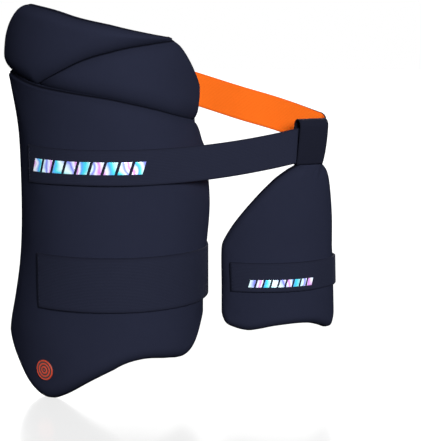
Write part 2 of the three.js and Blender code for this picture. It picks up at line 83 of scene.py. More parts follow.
# %% Wrap a socket
class Value:
    """A number that changes over a surface, as the output socket that carries it."""

    def __init__(self, finish, socket):
        self.finish = finish
        self.socket = socket

    def math(self, operation, *others):
        return self.finish.node("Math", {"operation": operation}, dict(enumerate((self,) + others)))

    def __add__(self, other):
        return self.math("ADD", other)

    def __radd__(self, other):
        return self.math("ADD", other)

    def __sub__(self, other):
        return self.math("SUBTRACT", other)

    def __rsub__(self, other):
        return self.finish.node("Math", {"operation": "SUBTRACT"}, {0: other, 1: self})

    def __mul__(self, other):
        return self.math("MULTIPLY", other)

    def __rmul__(self, other):
        return self.math("MULTIPLY", other)

    def __truediv__(self, other):
        return self.math("DIVIDE", other)

    def __pow__(self, other):
        return self.math("POWER", other)

    def wave(self):
        """A wave from 0 to 1, which comes back every 2 pi."""
        return self.math("SINE") * 0.5 + 0.5

    def size(self):
        return self.math("ABSOLUTE")

    def rest(self):
        return self.math("FRACT")

    def least(self, other):
        return self.math("MINIMUM", other)

    def step(self, low, high):
        """0 below low, 1 above high, and smooth between them."""
        settings = {"interpolation_type": "SMOOTHSTEP"}
        inputs = {"Value": self, "From Min": low, "From Max": high, "To Min": 0.0, "To Max": 1.0}
        return self.finish.node("MapRange", settings, inputs, "Result")


print("a value knows", [name for name in vars(Value) if not name.startswith("_")])

# %% [markdown]
# Colours and vectors go through Mix and Vector Math, since a Math node would turn them grey. Every
# other node comes from one method, which takes its type, its settings and what its sockets hold.

# %% Wrap a material
class Finish:
    """One material: a Principled shader and the nodes that feed it."""

    def __init__(self, name):
        self.material = bpy.data.materials.new(name)
        self.material.use_nodes = True
        self.tree = self.material.node_tree
        self.shader = self.tree.nodes["Principled BSDF"]

    def plug(self, source, target):
        if isinstance(source, Value):
            self.tree.links.new(source.socket, target)
        else:
            target.default_value = source

    def node(self, kind, settings=None, inputs=None, output=0):
        made = self.tree.nodes.new("ShaderNode" + kind)
        for name, setting in (settings or {}).items():
            if name == "stops":
                self.set_stops(made.color_ramp, setting)
            else:
                setattr(made, name, setting)
        for name, source in (inputs or {}).items():
            self.plug(source, made.inputs[name])
        return Value(self, made.outputs[output])

    def set_stops(self, ramp, stops):
        while len(ramp.elements) < len(stops):
            ramp.elements.new(1.0)
        for element, (position, colour) in zip(ramp.elements, stops):
            element.position = position
            element.color = colour

    def attribute(self, name, output="Fac"):
        return self.node("Attribute", {"attribute_name": name}, {}, output)

    def noise(self, where, scale, detail=2.0, roughness=0.5):
        inputs = {"Vector": where, "Scale": scale, "Detail": detail, "Roughness": roughness}
        return self.node("TexNoise", {"noise_dimensions": "3D"}, inputs, "Fac")

    def mix(self, share, first, second):
        """A colour between two colours."""
        inputs = {"Factor": share, 6: first, 7: second}
        return self.node("Mix", {"data_type": "RGBA"}, inputs, 2)

    def bump(self, height, distance, strength=1.0, below=None):
        inputs = {"Height": height, "Distance": distance, "Strength": strength}
        if below is not None:
            inputs["Normal"] = below
        return self.node("Bump", {}, inputs, "Normal")

    def feed(self, **sockets):
        for name, source in sockets.items():
            title = name.replace("_", " ").title().replace("Ior", "IOR")
            self.plug(source, self.shader.inputs[title])


def colour(red, green, blue):
    """A screen colour from 0 to 255, as the light that Blender works in."""
    def light(value):
        value = value / 255
        return value / 12.92 if value <= 0.04045 else ((value + 0.055) / 1.055) ** 2.4
    return (light(red), light(green), light(blue), 1.0)


print("a screen grey of 128 is", round(colour(128, 128, 128)[0], 3), "as light")

# %% [markdown]
# Cloth has a grain that runs along it, so each piece carries its own measure of the cloth: how far
# a point lies along and across the piece, in metres. Every weave below reads that measure, so a
# stitch is as large on the round of an edge as on the flat, and nothing swims when a pad curves.
#
# The pads wear a fine navy jersey that is bonded to the foam. Jersey is columns of small V-shaped
# loops. A V is a wave that is shifted sideways by its distance from the middle of its column, and
# two noises add the slight unevenness of foam below and of dye in the yarn.

# %% Knit for the pads
KNIT_COLUMN = 1.3 * MM
KNIT_ROW = 0.95 * MM
V_CLIMB = 0.55
RIDGE_PLACE = 0.85
RIDGE_WIDTH = 0.22
LOOP_SHARE = 0.6
NAVY = colour(33, 36, 52)
NAVY_SHADE = colour(21, 23, 33)
NAVY_LIGHT = colour(45, 48, 65)
SEAM_SHADE = colour(8, 8, 13)


def cloth_places(finish):
    """The places along and across the cloth, in metres, after both as one vector."""
    vector = finish.attribute("cloth", "Vector")
    along = finish.node("SeparateXYZ", {}, {"Vector": vector}, "X")
    across = finish.node("SeparateXYZ", {}, {"Vector": vector}, "Y")
    return vector, along, across


def knit_relief(along, across):
    """Height of the knit from 0 to 1."""
    column = ((along / KNIT_COLUMN).rest() - 0.5).size() * 2
    row = ((across / KNIT_ROW + column * V_CLIMB) * (2 * math.pi)).wave()
    between = (column - RIDGE_PLACE).size().step(0.0, RIDGE_WIDTH)
    return row * LOOP_SHARE + between * (1 - LOOP_SHARE)


def knit_finish():
    finish = Finish("navy_knit_cloth")
    cloth, along, across = cloth_places(finish)
    relief = knit_relief(along, across)
    dye = finish.noise(cloth, scale=55.0, detail=3.0, roughness=0.6)
    yarn = finish.noise(cloth, scale=900.0, detail=2.0, roughness=0.7)
    rim = finish.attribute("rim")
    ground = finish.mix(dye * 0.16 + yarn * 0.3, NAVY, NAVY_LIGHT)
    # Painted shade: the hollows of the knit and the rims of each panel are painted darker towards
    # NAVY_SHADE, and the last 1.5 mm of each rim is painted near black with SEAM_SHADE, as a
    # painted shadow line along the creases and edges.
    sunk = (1 - relief) * 0.5 + rim * 0.35
    shaded_knit = finish.mix(sunk, ground, NAVY_SHADE)
    finish.feed(base_color=finish.mix(rim.step(0.74, 1.0) * 0.8, shaded_knit, SEAM_SHADE))
    finish.feed(roughness=0.74 + yarn * 0.16 + rim * 0.06)
    waves = finish.noise(cloth, scale=30.0, detail=1.0, roughness=0.4)
    soft = finish.bump(waves, distance=0.5 * MM, strength=0.12)
    finish.feed(normal=finish.bump(relief, distance=0.14 * MM, strength=0.4, below=soft))
    finish.feed(specular_ior_level=0.0)
    return finish.material


navy_knit = knit_finish()
print("made", navy_knit.name, "with loops of", round(KNIT_COLUMN / MM, 2), "mm")

# %% [markdown]
# The side against the leg is lined with a spacer mesh that lets sweat out. Its holes stand in
# staggered rows, which are two square grids, one shifted by half a step. The distance to the
# nearest hole of either grid, read with the fraction of a scaled place, draws every hole at once.

# %% Spacer mesh for the lining
HOLE_STEP = 3.4 * MM
HOLE_START = 0.168
HOLE_END = 0.276
LINING = colour(34, 37, 53)
LINING_HOLE = colour(10, 11, 16)


def hole_distance(along, across, shift):
    """Distance to the nearest hole of one square grid, in steps."""
    u = (along / HOLE_STEP + shift).rest() - 0.5
    v = (across / HOLE_STEP + shift).rest() - 0.5
    return (u * u + v * v) ** 0.5


def lining_finish():
    finish = Finish("spacer_mesh_cloth")
    cloth, along, across = cloth_places(finish)
    nearest = hole_distance(along, across, 0.0).least(hole_distance(along, across, 0.5))
    solid = nearest.step(HOLE_START, HOLE_END)
    yarn = finish.noise(cloth, scale=1100.0, detail=2.0, roughness=0.7)
    threads = finish.mix(yarn, LINING, NAVY_LIGHT)
    # The holes are painted near black, as painted shade inside them.
    finish.feed(base_color=finish.mix(solid, LINING_HOLE, threads))
    finish.feed(roughness=0.8 + yarn * 0.15)
    finish.feed(normal=finish.bump(solid + yarn * 0.25, distance=0.35 * MM, strength=0.7))
    finish.feed(specular_ior_level=0.0)
    return finish.material


spacer_mesh = lining_finish()
print("made", spacer_mesh.name, "with holes every", round(HOLE_STEP / MM, 2), "mm")

# %% [markdown]
# Woven elastic has rubber cords along it, which show as fine ridges, and a weft that crosses them
# in a much finer beat. Near each edge a selvedge of close cords is smoother. The same function
# weaves the navy face and the orange inner face, because the real belt is one cloth of two colours.

# %% Elastic webbing
CORD_STEP = 1.5 * MM
WEFT_STEP = 0.7 * MM
SELVEDGE_START = 0.84
SELVEDGE_END = 0.9
EDGE_SHADE_START = 0.92


def elastic_finish(name, ground, shade, light):
    finish = Finish(name)
    cloth, along, across = cloth_places(finish)
    edge = finish.attribute("rim")
    cords = (across * (2 * math.pi / CORD_STEP)).wave()
    weft = (along * (2 * math.pi / WEFT_STEP) + cords * math.pi).wave()
    flat = edge.step(SELVEDGE_START, SELVEDGE_END)
    relief = (cords * 0.65 + weft * 0.35) * (1 - flat * 0.6)
    # Painted shade: the hollows of the weave and a strip along each edge are painted darker towards
    # the shade colour.
    sunk = (1 - relief) * 0.45 + edge.step(EDGE_SHADE_START, 1.0) * 0.4
    dye = finish.noise(cloth, scale=70.0, detail=2.0, roughness=0.6)
    yarn = finish.noise(cloth, scale=1300.0, detail=2.0, roughness=0.7)
    body = finish.mix(dye * 0.15 + yarn * 0.3, ground, light)
    finish.feed(base_color=finish.mix(sunk, body, shade))
    finish.feed(roughness=0.62 + yarn * 0.2)
    soft = finish.bump(dye, distance=0.4 * MM, strength=0.1)
    finish.feed(normal=finish.bump(relief, distance=0.2 * MM, strength=0.55, below=soft))
    finish.feed(specular_ior_level=0.01)
    return finish.material


navy_elastic = elastic_finish(
    "navy_elastic_web", colour(32, 35, 50), colour(20, 21, 31), colour(43, 46, 63)
)
navy_webbing = elastic_finish(
    "navy_plain_webbing", colour(24, 26, 38), colour(15, 16, 24), colour(32, 34, 47)
)
orange_elastic = elastic_finish(
    "orange_elastic_web", colour(255, 116, 30), colour(218, 78, 16), colour(255, 134, 44)
)
print("made", navy_elastic.name, navy_webbing.name, "and", orange_elastic.name)

# %% [markdown]
# The marks on the straps are heat-pressed foil that turns from cyan through white to lilac and
# pink as one looks along it. The real colour comes from a fine grating. Here a ramp is read at a
# place that noise pushes about, which stays put on the strap when the camera moves.

# %% Foil, rubber and thread
FOIL_TURNS_ALONG = 37
FOIL_TURNS_ACROSS = 24
FOIL_DRIFT = 1.1
FOIL_STOPS = (
    (0.0, colour(66, 206, 222)),
    (0.18, colour(222, 246, 250)),
    (0.34, colour(112, 120, 224)),
    (0.48, colour(230, 236, 252)),
    (0.62, colour(206, 122, 218)),
    (0.74, colour(236, 240, 252)),
    (0.88, colour(86, 154, 236)),
    (1.0, colour(66, 206, 222)),
)


def foil_finish():
    finish = Finish("pearl_foil")
    cloth, along, across = cloth_places(finish)
    drift = finish.noise(cloth, scale=45.0, detail=1.0, roughness=0.5)
    turn = (along * FOIL_TURNS_ALONG + across * FOIL_TURNS_ACROSS + drift * FOIL_DRIFT).rest()
    shift = finish.node("ValToRGB", {"stops": FOIL_STOPS}, {"Fac": turn}, "Color")
    grain = finish.noise(cloth, scale=1500.0, detail=2.0, roughness=0.6)
    finish.feed(base_color=shift)
    finish.feed(metallic=0.25 + grain * 0.2, roughness=0.24 + grain * 0.16)
    finish.feed(normal=finish.bump(grain, distance=0.08 * MM, strength=0.35))
    finish.feed(specular_ior_level=0.15)
    return finish.material


def rubber_finish():
    finish = Finish("orange_rubber_moulding")
    flat = finish.attribute("cloth", "Vector")
    cloud = finish.noise(flat, scale=260.0, detail=3.0, roughness=0.6)
    grain = finish.noise(flat, scale=2600.0, detail=2.0, roughness=0.6)
    ground = finish.attribute("rim")
    ring = finish.mix(cloud, colour(176, 50, 26), colour(206, 66, 34))
    finish.feed(base_color=finish.mix(ground, ring, colour(32, 12, 15)))
    finish.feed(roughness=0.42 + grain * 0.2)
    finish.feed(normal=finish.bump(grain, distance=0.05 * MM, strength=0.4))
    finish.feed(specular_ior_level=0.4)
    return finish.material


TWIST_ALONG = 5200
TWIST_ROUND = 3600


def thread_finish():
    finish = Finish("navy_thread")
    along, across = cloth_places(finish)[1:]
    twist = (along * TWIST_ALONG + across * TWIST_ROUND).wave()
    finish.feed(base_color=finish.mix(twist, colour(22, 24, 36), colour(40, 43, 60)))
    finish.feed(roughness=0.5 + twist * 0.12)
    finish.feed(normal=finish.bump(twist, distance=0.08 * MM, strength=0.5))
    finish.feed(specular_ior_level=0.03)
    return finish.material


pearl_foil = foil_finish()
orange_rubber = rubber_finish()
navy_thread = thread_finish()
print("made", pearl_foil.name, orange_rubber.name, "and", navy_thread.name)

# %% [markdown]
# The body shapes come from a few short tables, the same that shaped the solids: how wide the pad
# is at each height, and where its edges and creases run. Rows hold shares, so the sizes stand
# once, above them. A smooth curve through each table's rows gives every value in between.

# %% Sizes and tables of the outer guard
THIGH_RADIUS = 82 * MM
PAD_THICKNESS = 16 * MM
PAD_HEIGHT = 400 * MM
SEAT_ABOVE_TIP = 178.5 * MM
PAD_HALF_WIDTH = 99 * MM
PAD_WRAP = math.radians(80)

PAD_SECTIONS = {
    "left": ((0, 1.17), (0.15, 1.185), (0.26, 1.115), (0.37, 1.055), (0.49, 1.035), (0.6, 1.035),
             (0.69, 1.055), (0.8, 1.125), (0.86, 1.17), (0.92, 1.15), (1, 1.08)),
    "right": ((0, 0.95), (0.15, 0.95), (0.26, 0.963), (0.37, 0.995), (0.49, 1.025), (0.6, 0.99),
              (0.69, 0.93), (0.8, 0.9), (0.86, 0.885), (0.92, 0.87), (1, 0.87)),
    "front": ((0, 1.01), (0.15, 1.0), (0.26, 0.99), (0.6, 0.99), (0.69, 0.985), (0.8, 0.975),
              (0.86, 0.965), (0.92, 0.955), (1, 0.94)),
}
PAD_LOWER_EDGE = (
    (-1, 0.14), (-0.82, 0.077), (-0.66, 0.022), (-0.5, -0.003), (-0.36, 0.01), (-0.12, 0.06),
    (0.08, 0.096), (0.28, 0.108), (0.5, 0.101), (0.68, 0.097), (0.82, 0.12), (1, 0.187),
)
HIP_CREASE = (
    (-1, 0.832), (-0.75, 0.812), (-0.55, 0.797), (-0.26, 0.782), (0, 0.768), (0.37, 0.741),
    (0.58, 0.723), (0.8, 0.708), (1, 0.698),
)
FLAP_CREASE = (
    (-0.55, 0.798), (-0.38, 0.825), (-0.14, 0.866), (0.08, 0.888), (0.38, 0.902), (0.58, 0.908),
)
HIP_BACK_EDGE = ((0.58, 0.908), (0.66, 0.893), (0.77, 0.859), (0.89, 0.816), (1, 0.772))
HIP_TOP_EDGE = (
    (-1, 0.925), (-0.93, 0.962), (-0.83, 0.99), (-0.74, 1.0), (-0.64, 0.998), (-0.42, 0.985),
    (-0.2, 0.964), (0.1, 0.942), (0.38, 0.926), (0.58, 0.917),
)
PAD_LEFT_CORNER = ((-1, 0.028), (-0.92, 0))
PAD_RIGHT_CORNER = ((0.78, 0), (0.88, 0.02), (1, 0.104))
MIDDLE_RIGHT_CORNER = ((0.84, 0), (0.93, 0.008), (1, 0.045))
UPPER_LEFT_CORNER = ((-1, 0.006), (-0.94, 0))


def smooth(table, at):
    """Reads a table of (place, value) rows as one smooth curve."""
    place, value = np.array(table, float).T
    slope = np.zeros_like(value)
    slope[1:-1] = (value[2:] - value[:-2]) / (place[2:] - place[:-2])
    slope[0] = (value[1] - value[0]) / (place[1] - place[0])
    slope[-1] = (value[-1] - value[-2]) / (place[-1] - place[-2])
    at = np.clip(at, place[0], place[-1])
    k = np.clip(np.searchsorted(place, at, side="right") - 1, 0, len(place) - 2)
    span = place[k + 1] - place[k]
    t = (at - place[k]) / span
    curve = value[k] + (value[k + 1] - value[k]) * t * t * (3 - 2 * t)
    return curve + span * t * (1 - t) * (slope[k] * (1 - t) - slope[k + 1] * t)


def front_reach(z):
    """How far the pad's crown stands in front of the thigh's axis."""
    return smooth(PAD_SECTIONS["front"], (z + SEAT_ABOVE_TIP) / PAD_HEIGHT) * PAD_HALF_WIDTH


AXIS_DEPTH = float(front_reach(0.0)) - PAD_THICKNESS


def pad_face(around, z):
    """The crowned face of the outer guard, at a share of its wrap and a height."""
    around, z = np.broadcast_arrays(np.asarray(around, float), np.asarray(z, float))
    up = (z + SEAT_ABOVE_TIP) / PAD_HEIGHT
    left = smooth(PAD_SECTIONS["left"], up)
    right = smooth(PAD_SECTIONS["right"], up)
    half = np.where(around < 0, left, right) * PAD_HALF_WIDTH
    angle = around * PAD_WRAP
    return np.stack([half * np.sin(angle), AXIS_DEPTH - front_reach(z) * np.cos(angle), z], -1)


def unit(vectors):
    return vectors / np.linalg.norm(vectors, axis=-1, keepdims=True)


def outward(face, a, b):
    """The outward direction of a face, from small steps along it."""
    step_a, step_b = 0.004, 0.4 * MM
    along = face(a + step_a, b) - face(a - step_a, b)
    up = face(a, b + step_b) - face(a, b - step_b)
    return unit(np.cross(along, up))


print("axis of the thigh lies", round(AXIS_DEPTH / MM, 1), "mm behind the seat")

# %% [markdown]
# Every shape here is a grid of points, which numpy works out at once, and a mesh takes such arrays
# whole. Each point also stores its measure of cloth and how near it is to a rim, for the weaves.

# %% Make meshes from arrays
def put_mesh(name, materials, points, quads, kinds, marks):
    """One smooth mesh object from arrays; marks are the values stored on its points."""
    mesh = bpy.data.meshes.new(name)
    mesh.from_pydata(points.tolist(), [], quads.tolist())
    for material in materials:
        mesh.materials.append(material)
    mesh.polygons.foreach_set("material_index", np.asarray(kinds, np.int32))
    mesh.polygons.foreach_set("use_smooth", np.ones(len(quads), bool))
    for mark, values in marks.items():
        kind = "FLOAT_VECTOR" if values.ndim == 2 else "FLOAT"
        layer = mesh.attributes.new(mark, kind, "POINT")
        field = "vector" if values.ndim == 2 else "value"
        layer.data.foreach_set(field, values.astype(np.float32).ravel())
    mesh.update()
    made = bpy.data.objects.new(name, mesh)
    bpy.context.collection.objects.link(made)
    return made


def cloth_measure(grid):
    """How far each point of a grid lies along and across the cloth, from its middle."""
    def run(points, axis):
        steps = np.linalg.norm(np.diff(points, axis=axis), axis=-1)
        edge = np.zeros_like(np.take(steps, [0], axis))
        total = np.cumsum(np.concatenate([edge, steps], axis), axis)
        middle = np.take(total, [total.shape[axis] // 2], axis)
        return total - middle
    along = run(grid, 0)
    across = run(grid, 1)
    return np.stack([along, across, np.zeros_like(along)], -1)


def grid_quads(columns, rows, start, flip=False):
    i, j = np.meshgrid(np.arange(columns - 1), np.arange(rows - 1), indexing="ij")
    corner = start + i * rows + j
    quads = np.stack([corner, corner + rows, corner + rows + 1, corner + 1], -1).reshape(-1, 4)
    return quads[:, ::-1] if flip else quads


print("faces in a grid of 3 by 3 points:", len(grid_quads(3, 3, 0)))

# %% [markdown]
# A pad or a strap is two such grids, one for its outer side and one for its inner side. A few rows
# round the border join them, swelled a little, so that the body is closed and its rim is round.

# %% Close a body between two grids
SIDE_MARK = 0.5
SIDE_SWELL = 0.18


def ring_of(columns, rows):
    """Indices of a grid's border, in order, anticlockwise as seen from outside."""
    index = np.arange(columns * rows).reshape(columns, rows)
    parts = [index[:-1, 0], index[-1, :-1], index[:0:-1, -1], index[0, :0:-1]]
    return np.concatenate(parts)


def round_quads(index):
    """Faces between the rows of a grid of indices in which each row closes on itself."""
    beside = np.roll(index, -1, -1)
    low, high = index[..., :-1, :], index[..., 1:, :]
    return np.stack([low, high, beside[..., 1:, :], beside[..., :-1, :]], -1).reshape(-1, 4)


def skin(outer, inner, rim_mark, inner_kind=1, rim_steps=3):
    """A closed body between two grids, with a rounded rim of a few rows between them."""
    columns, rows = outer.shape[:2]
    count = columns * rows
    top = ring_of(columns, rows)
    points = [outer.reshape(-1, 3), inner.reshape(-1, 3)]
    cloth = [cloth_measure(outer).reshape(-1, 3), cloth_measure(inner).reshape(-1, 3)]
    rims = [rim_mark.ravel(), rim_mark.ravel()]
    edge_out, edge_in = points[0][top], points[1][top]
    centre = (edge_out + edge_in) / 2
    along = unit(np.roll(centre, -1, 0) - np.roll(centre, 1, 0))
    bulge = unit(np.cross(edge_in - edge_out, along))
    depth = np.linalg.norm(edge_in - edge_out, axis=-1, keepdims=True)
    loops = [top]
    for step in range(1, rim_steps):
        share = step / rim_steps
        loops.append(2 * count + (step - 1) * len(top) + np.arange(len(top)))
        swell = bulge * depth * SIDE_SWELL * math.sin(math.pi * share)
        points.append(edge_out + (edge_in - edge_out) * share + swell)
        cloth.append(cloth[0][top] + np.array([0, 0, 1.0]) * depth * share)
        rims.append(np.full(len(top), SIDE_MARK))
    loops.append(top + count)
    outside, inside = grid_quads(columns, rows, 0), grid_quads(columns, rows, count, True)
    quads = np.concatenate([outside, inside, round_quads(np.stack(loops))])
    kinds = np.zeros(len(quads))
    kinds[len(outside):len(outside) + len(inside)] = inner_kind
    marks = {"cloth": np.concatenate(cloth), "rim": np.concatenate(rims)}
    return np.concatenate(points), quads, kinds, marks


print("the border of a grid of 3 by 3 points, in order:", ring_of(3, 3).tolist())

# %% [markdown]
# A cover is cut a little full and settles over its foam. A short cloth simulation finds where it
# rises. The cover is copied at every few grid lines, its border is held as if sewn, and a gentle
# pressure from the foam lifts the rest for some steps. The rise of each point is capped and read
# back between the coarse lines, so the fine grid keeps its own measure of the weave.

# %% Let a cover settle over its foam
SETTLE_LINES = 44
SETTLE_STEPS = 16
SETTLE_PRESSURE = 4.0
SETTLE_MOST = 1.1 * MM


def read_between(coarse, i, j, columns, rows):
    """Values on some grid lines, read on every line of the whole grid."""
    half = np.stack([np.interp(np.arange(rows), j, line) for line in coarse])
    return np.stack([np.interp(np.arange(columns), i, line) for line in half.T], -1)


def settled_rise(cover, normal):
    """How far each point of a cover rises over its foam."""
    columns, rows = cover.shape[:2]
    i = np.unique(np.linspace(0, columns - 1, SETTLE_LINES).round().astype(int))
    j = np.unique(np.linspace(0, rows - 1, SETTLE_LINES).round().astype(int))
    coarse = cover[np.ix_(i, j)]
    quads = grid_quads(len(i), len(j), 0)
    sheet = put_mesh("cover", [], coarse.reshape(-1, 3), quads, np.zeros(len(quads)), {})
    border = ring_of(len(i), len(j)).tolist()
    sheet.vertex_groups.new(name="sewn").add(border, 1.0, "REPLACE")
    cloth = sheet.modifiers.new("cloth", "CLOTH")
    cloth.settings.vertex_group_mass = "sewn"
    cloth.settings.use_pressure = True
    cloth.settings.uniform_pressure_force = SETTLE_PRESSURE
    cloth.settings.effector_weights.gravity = 0
    for step in range(1, SETTLE_STEPS + 1):
        bpy.context.scene.frame_set(step)
    settled = sheet.evaluated_get(bpy.context.evaluated_depsgraph_get()).data
    moved = np.empty(coarse.size, np.float32)
    settled.vertices.foreach_get("co", moved)
    bpy.data.meshes.remove(sheet.data)
    bpy.context.scene.frame_set(1)
    rise = ((moved.reshape(coarse.shape) - coarse) * normal[np.ix_(i, j)]).sum(-1)
    print("the cover rose by up to", round(float(np.abs(rise).max()) / MM, 2), "mm")
    return read_between(SETTLE_MOST * np.tanh(rise / SETTLE_MOST), i, j, columns, rows)


print("covers settle in", SETTLE_STEPS, "steps, or in none for a quick look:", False)

# %% [markdown]
# Foam is cut and moulded by hand, so no face is perfect. A sum of a few slow waves along and
# across each face, different for every piece, raises it by a fraction of a millimetre. It is
# worked out from the cloth's own measure, so it gives the same pad each time.

# %% Make foam a little uneven
UNEVEN = 0.35 * MM
FOAM_WAVES = (160, 105, 74, 52, 41)


def unevenness(cloth, seed):
    """Height of the foam's slow waves at places on the cloth."""
    rng = np.random.default_rng(seed)
    total = np.zeros(cloth.shape[:-1])
    for length in FOAM_WAVES:
        direction = rng.uniform(0, 2 * math.pi)
        phase = rng.uniform(0, 2 * math.pi)
        along = cloth[..., 0] * math.cos(direction) + cloth[..., 1] * math.sin(direction)
        total += np.sin(along * 2 * math.pi / (length * MM) + phase) * length / FOAM_WAVES[0]
    return total * UNEVEN


print("unevenness of the foam:", round(UNEVEN / MM, 2), "mm")

# %% [markdown]
# On the leg side, the cover and the lining meet under a bound edge, which makers call a welt. It
# is a thin cord of folded tape, so it is made as a tube that runs once round the panel.

# %% Bind the edge of a panel
WELT_RADIUS = 1.1 * MM
WELT_INSET = 1.9 * MM
WELT_SUNK = 0.2
WELT_SIDES = 10


def tube(line, across, radius, name, material):
    """A closed cord along a ring of points, from two directions square to it."""
    side, up = across
    spin = np.linspace(0, 2 * math.pi, WELT_SIDES, endpoint=False)[None, :, None]
    ring = line[:, None] + radius * (side[:, None] * np.cos(spin) + up[:, None] * np.sin(spin))
    index = np.arange(len(line) * WELT_SIDES).reshape(len(line), WELT_SIDES)
    quads = round_quads(np.concatenate([index, index[:1]]))
    run = np.cumsum(np.linalg.norm(np.roll(line, -1, 0) - line, axis=1))
    cloth = np.stack(np.broadcast_arrays(run[:, None], spin[..., 0] * radius, 0.0), -1)
    marks = {"cloth": cloth.reshape(-1, 3), "rim": np.zeros(index.size)}
    kinds = np.zeros(len(quads))
    return put_mesh(name, [material], ring.reshape(-1, 3), quads, kinds, marks)


def add_welt(name, inner, normal):
    """A bound edge round the leg side of a panel."""
    columns, rows = inner.shape[:2]
    ring = ring_of(columns, rows)
    line, up = inner.reshape(-1, 3)[ring], normal.reshape(-1, 3)[ring]
    along = unit(np.roll(line, -1, 0) - np.roll(line, 1, 0))
    outside = unit(np.cross(along, up))
    line = line - outside * WELT_INSET - up * WELT_RADIUS * WELT_SUNK
    welt = tube(line, (outside, up), WELT_RADIUS, name + "_welt", navy_webbing)
    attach(welt, "root")


print("a welt is", round(2 * WELT_RADIUS / MM, 1), "mm thick")

# %% [markdown]
# Near each edge a face rolls down. The roll is a quarter of an ellipse over the true distance to
# the edge, or partly a long slope where the foam is soft. The surface turns fastest there, so the
# grid lines crowd towards the edges.

# %% Roll a face over at its edges
def crowded(count):
    """Shares from 0 to 1 that crowd towards both ends."""
    return (1 - np.cos(math.pi * np.linspace(0, 1, count + 1))) / 2


def distance_to(chain, spots):
    """Distance from flat spots to a chain of flat points."""
    nearest = np.full(spots.shape[:-1], np.inf)
    for first, second in zip(chain[:-1], chain[1:]):
        along = second - first
        share = np.clip((spots - first) @ along / max(along @ along, 1e-12), 0, 1)
        gap = spots - first - share[..., None] * along
        nearest = np.minimum(nearest, np.linalg.norm(gap, axis=-1))
    return nearest


def rolled(distance, width, drop, softness=0.0):
    """How far a face has dropped: a round edge, or a long slope where softness is near 1."""
    outwards = 1 - np.minimum(distance / width, 1)
    return drop * (softness * outwards ** 2 + (1 - softness) * (1 - np.sqrt(1 - outwards ** 2)))


print("a panel's grid lines crowd to its edges, such as", np.round(crowded(8), 2))

# %% [markdown]
# A panel is put together from all of this. The drops towards its edges add up as powers, so a
# corner is one round form and not two crossing slopes. The rim mark is 1 at an open edge, where the
# knit is painted darker as painted shade on the rolled edge and painted shadow in the creases, but
# not at the neck of the inner pad, which is sewn into the loop.

# %% Build a padded panel
EDGE_SAMPLES = 90
SIDE_SAMPLES = 60
CORNER_POWER = 3
LINING_ROLL = (5 * MM, 2.5 * MM)
UNEVEN_FROM_EDGE = 20 * MM
RIM_WIDTH = 9 * MM
RIM_POWER = 1.6
INNER_NECK_ROLL = (3 * MM, 1.2 * MM)


def gaps_to_edges(flat, spots, side, lower, upper):
    """Distance from flat spots to each edge of a panel."""
    samples = np.linspace(*side, EDGE_SAMPLES)
    climb = np.linspace(0, 1, SIDE_SAMPLES)

    def upright(around):
        heights = lower(around) + (upper(around) - lower(around)) * climb
        return flat(np.full(SIDE_SAMPLES, around), heights)

    chains = {
        "lower": flat(samples, lower(samples)),
        "upper": flat(samples, upper(samples)),
        "left": upright(side[0]),
        "right": upright(side[1]),
    }
    return {edge: distance_to(chain, spots) for edge, chain in chains.items()}


def drops_of(gaps, rolls):
    """How far a face has dropped towards all its edges together."""
    powers = sum(rolled(gaps[edge], *rolls[edge]) ** CORNER_POWER for edge in rolls)
    deepest = max(roll[1] for roll in rolls.values())
    return np.minimum(powers ** (1 / CORNER_POWER), deepest)


def rim_of(gaps, rolls):
    """1 at a panel's open edges and 0 further in."""
    nearest = np.minimum.reduce([gaps[edge] for edge in rolls if rolls[edge] != INNER_NECK_ROLL])
    return np.clip(1 - nearest / RIM_WIDTH, 0, 1) ** RIM_POWER


def padded_panel(name, face, flat, side, lower, upper, lift, thickness, rolls, cells, seed):
    """A foam panel between four edges, with its cover, lining and welt."""
    low, high = side
    a = low + (high - low) * crowded(cells[0])[:, None]
    bottom, top = lower(a), upper(a)
    z = bottom + (top - bottom) * crowded(cells[1])[None, :]
    a = np.broadcast_to(a, z.shape)
    point, normal = face(a, z), outward(face, a, z)
    gaps = gaps_to_edges(flat, flat(a, z), side, lower, upper)
    nearest = np.minimum.reduce(list(gaps.values()))
    bumps = unevenness(cloth_measure(point), seed) * np.clip(nearest / UNEVEN_FROM_EDGE, 0, 1)
    outer = point + normal * (lift - drops_of(gaps, rolls) + bumps)[..., None]
    outer = outer + normal * settled_rise(outer, normal)[..., None]
    inner = point - normal * (thickness - rolled(nearest, *LINING_ROLL))[..., None]
    add_welt(name, inner, normal)
    return put_mesh(name, [navy_knit, spacer_mesh], *skin(outer, inner, rim_of(gaps, rolls)))


print("a face drops", round(rolled(0.0, *LINING_ROLL) / MM, 1), "mm at the edge of its lining")

# %% [markdown]
# The outer guard is three panels that meet at two creases. Each edge is a height that depends on
# the place round the leg, read from the tables above, with a fine seam left free on each side.

# %% Edges of the three panels
SEAM = 0.12 * MM
CREASE_START = FLAP_CREASE[0][0]
CREASE_END = FLAP_CREASE[-1][0]
UPPER_TOP_LOWERED = 0.6 * MM


def pad_flat(around, z):
    """The outer guard's face laid flat, in metres."""
    around, z = np.broadcast_arrays(np.asarray(around, float), np.asarray(z, float))
    return np.stack([around * PAD_WRAP * PAD_HALF_WIDTH, z], -1)


def height_on_pad(table, around):
    """A height from the seat, from a table's share of the pad."""
    return smooth(table, around) * PAD_HEIGHT - SEAT_ABOVE_TIP


def corner(table, around):
    """How much of its height an edge loses at a rounded corner."""
    return smooth(table, around) * PAD_HEIGHT


def pad_bottom(around):
    return height_on_pad(PAD_LOWER_EDGE, around)


def pad_top(around):
    corners = corner(PAD_LEFT_CORNER, around) + corner(PAD_RIGHT_CORNER, around)
    return height_on_pad(HIP_CREASE, around) - corners - SEAM


def middle_bottom(around):
    return height_on_pad(HIP_CREASE, around) + corner(MIDDLE_RIGHT_CORNER, around) + SEAM


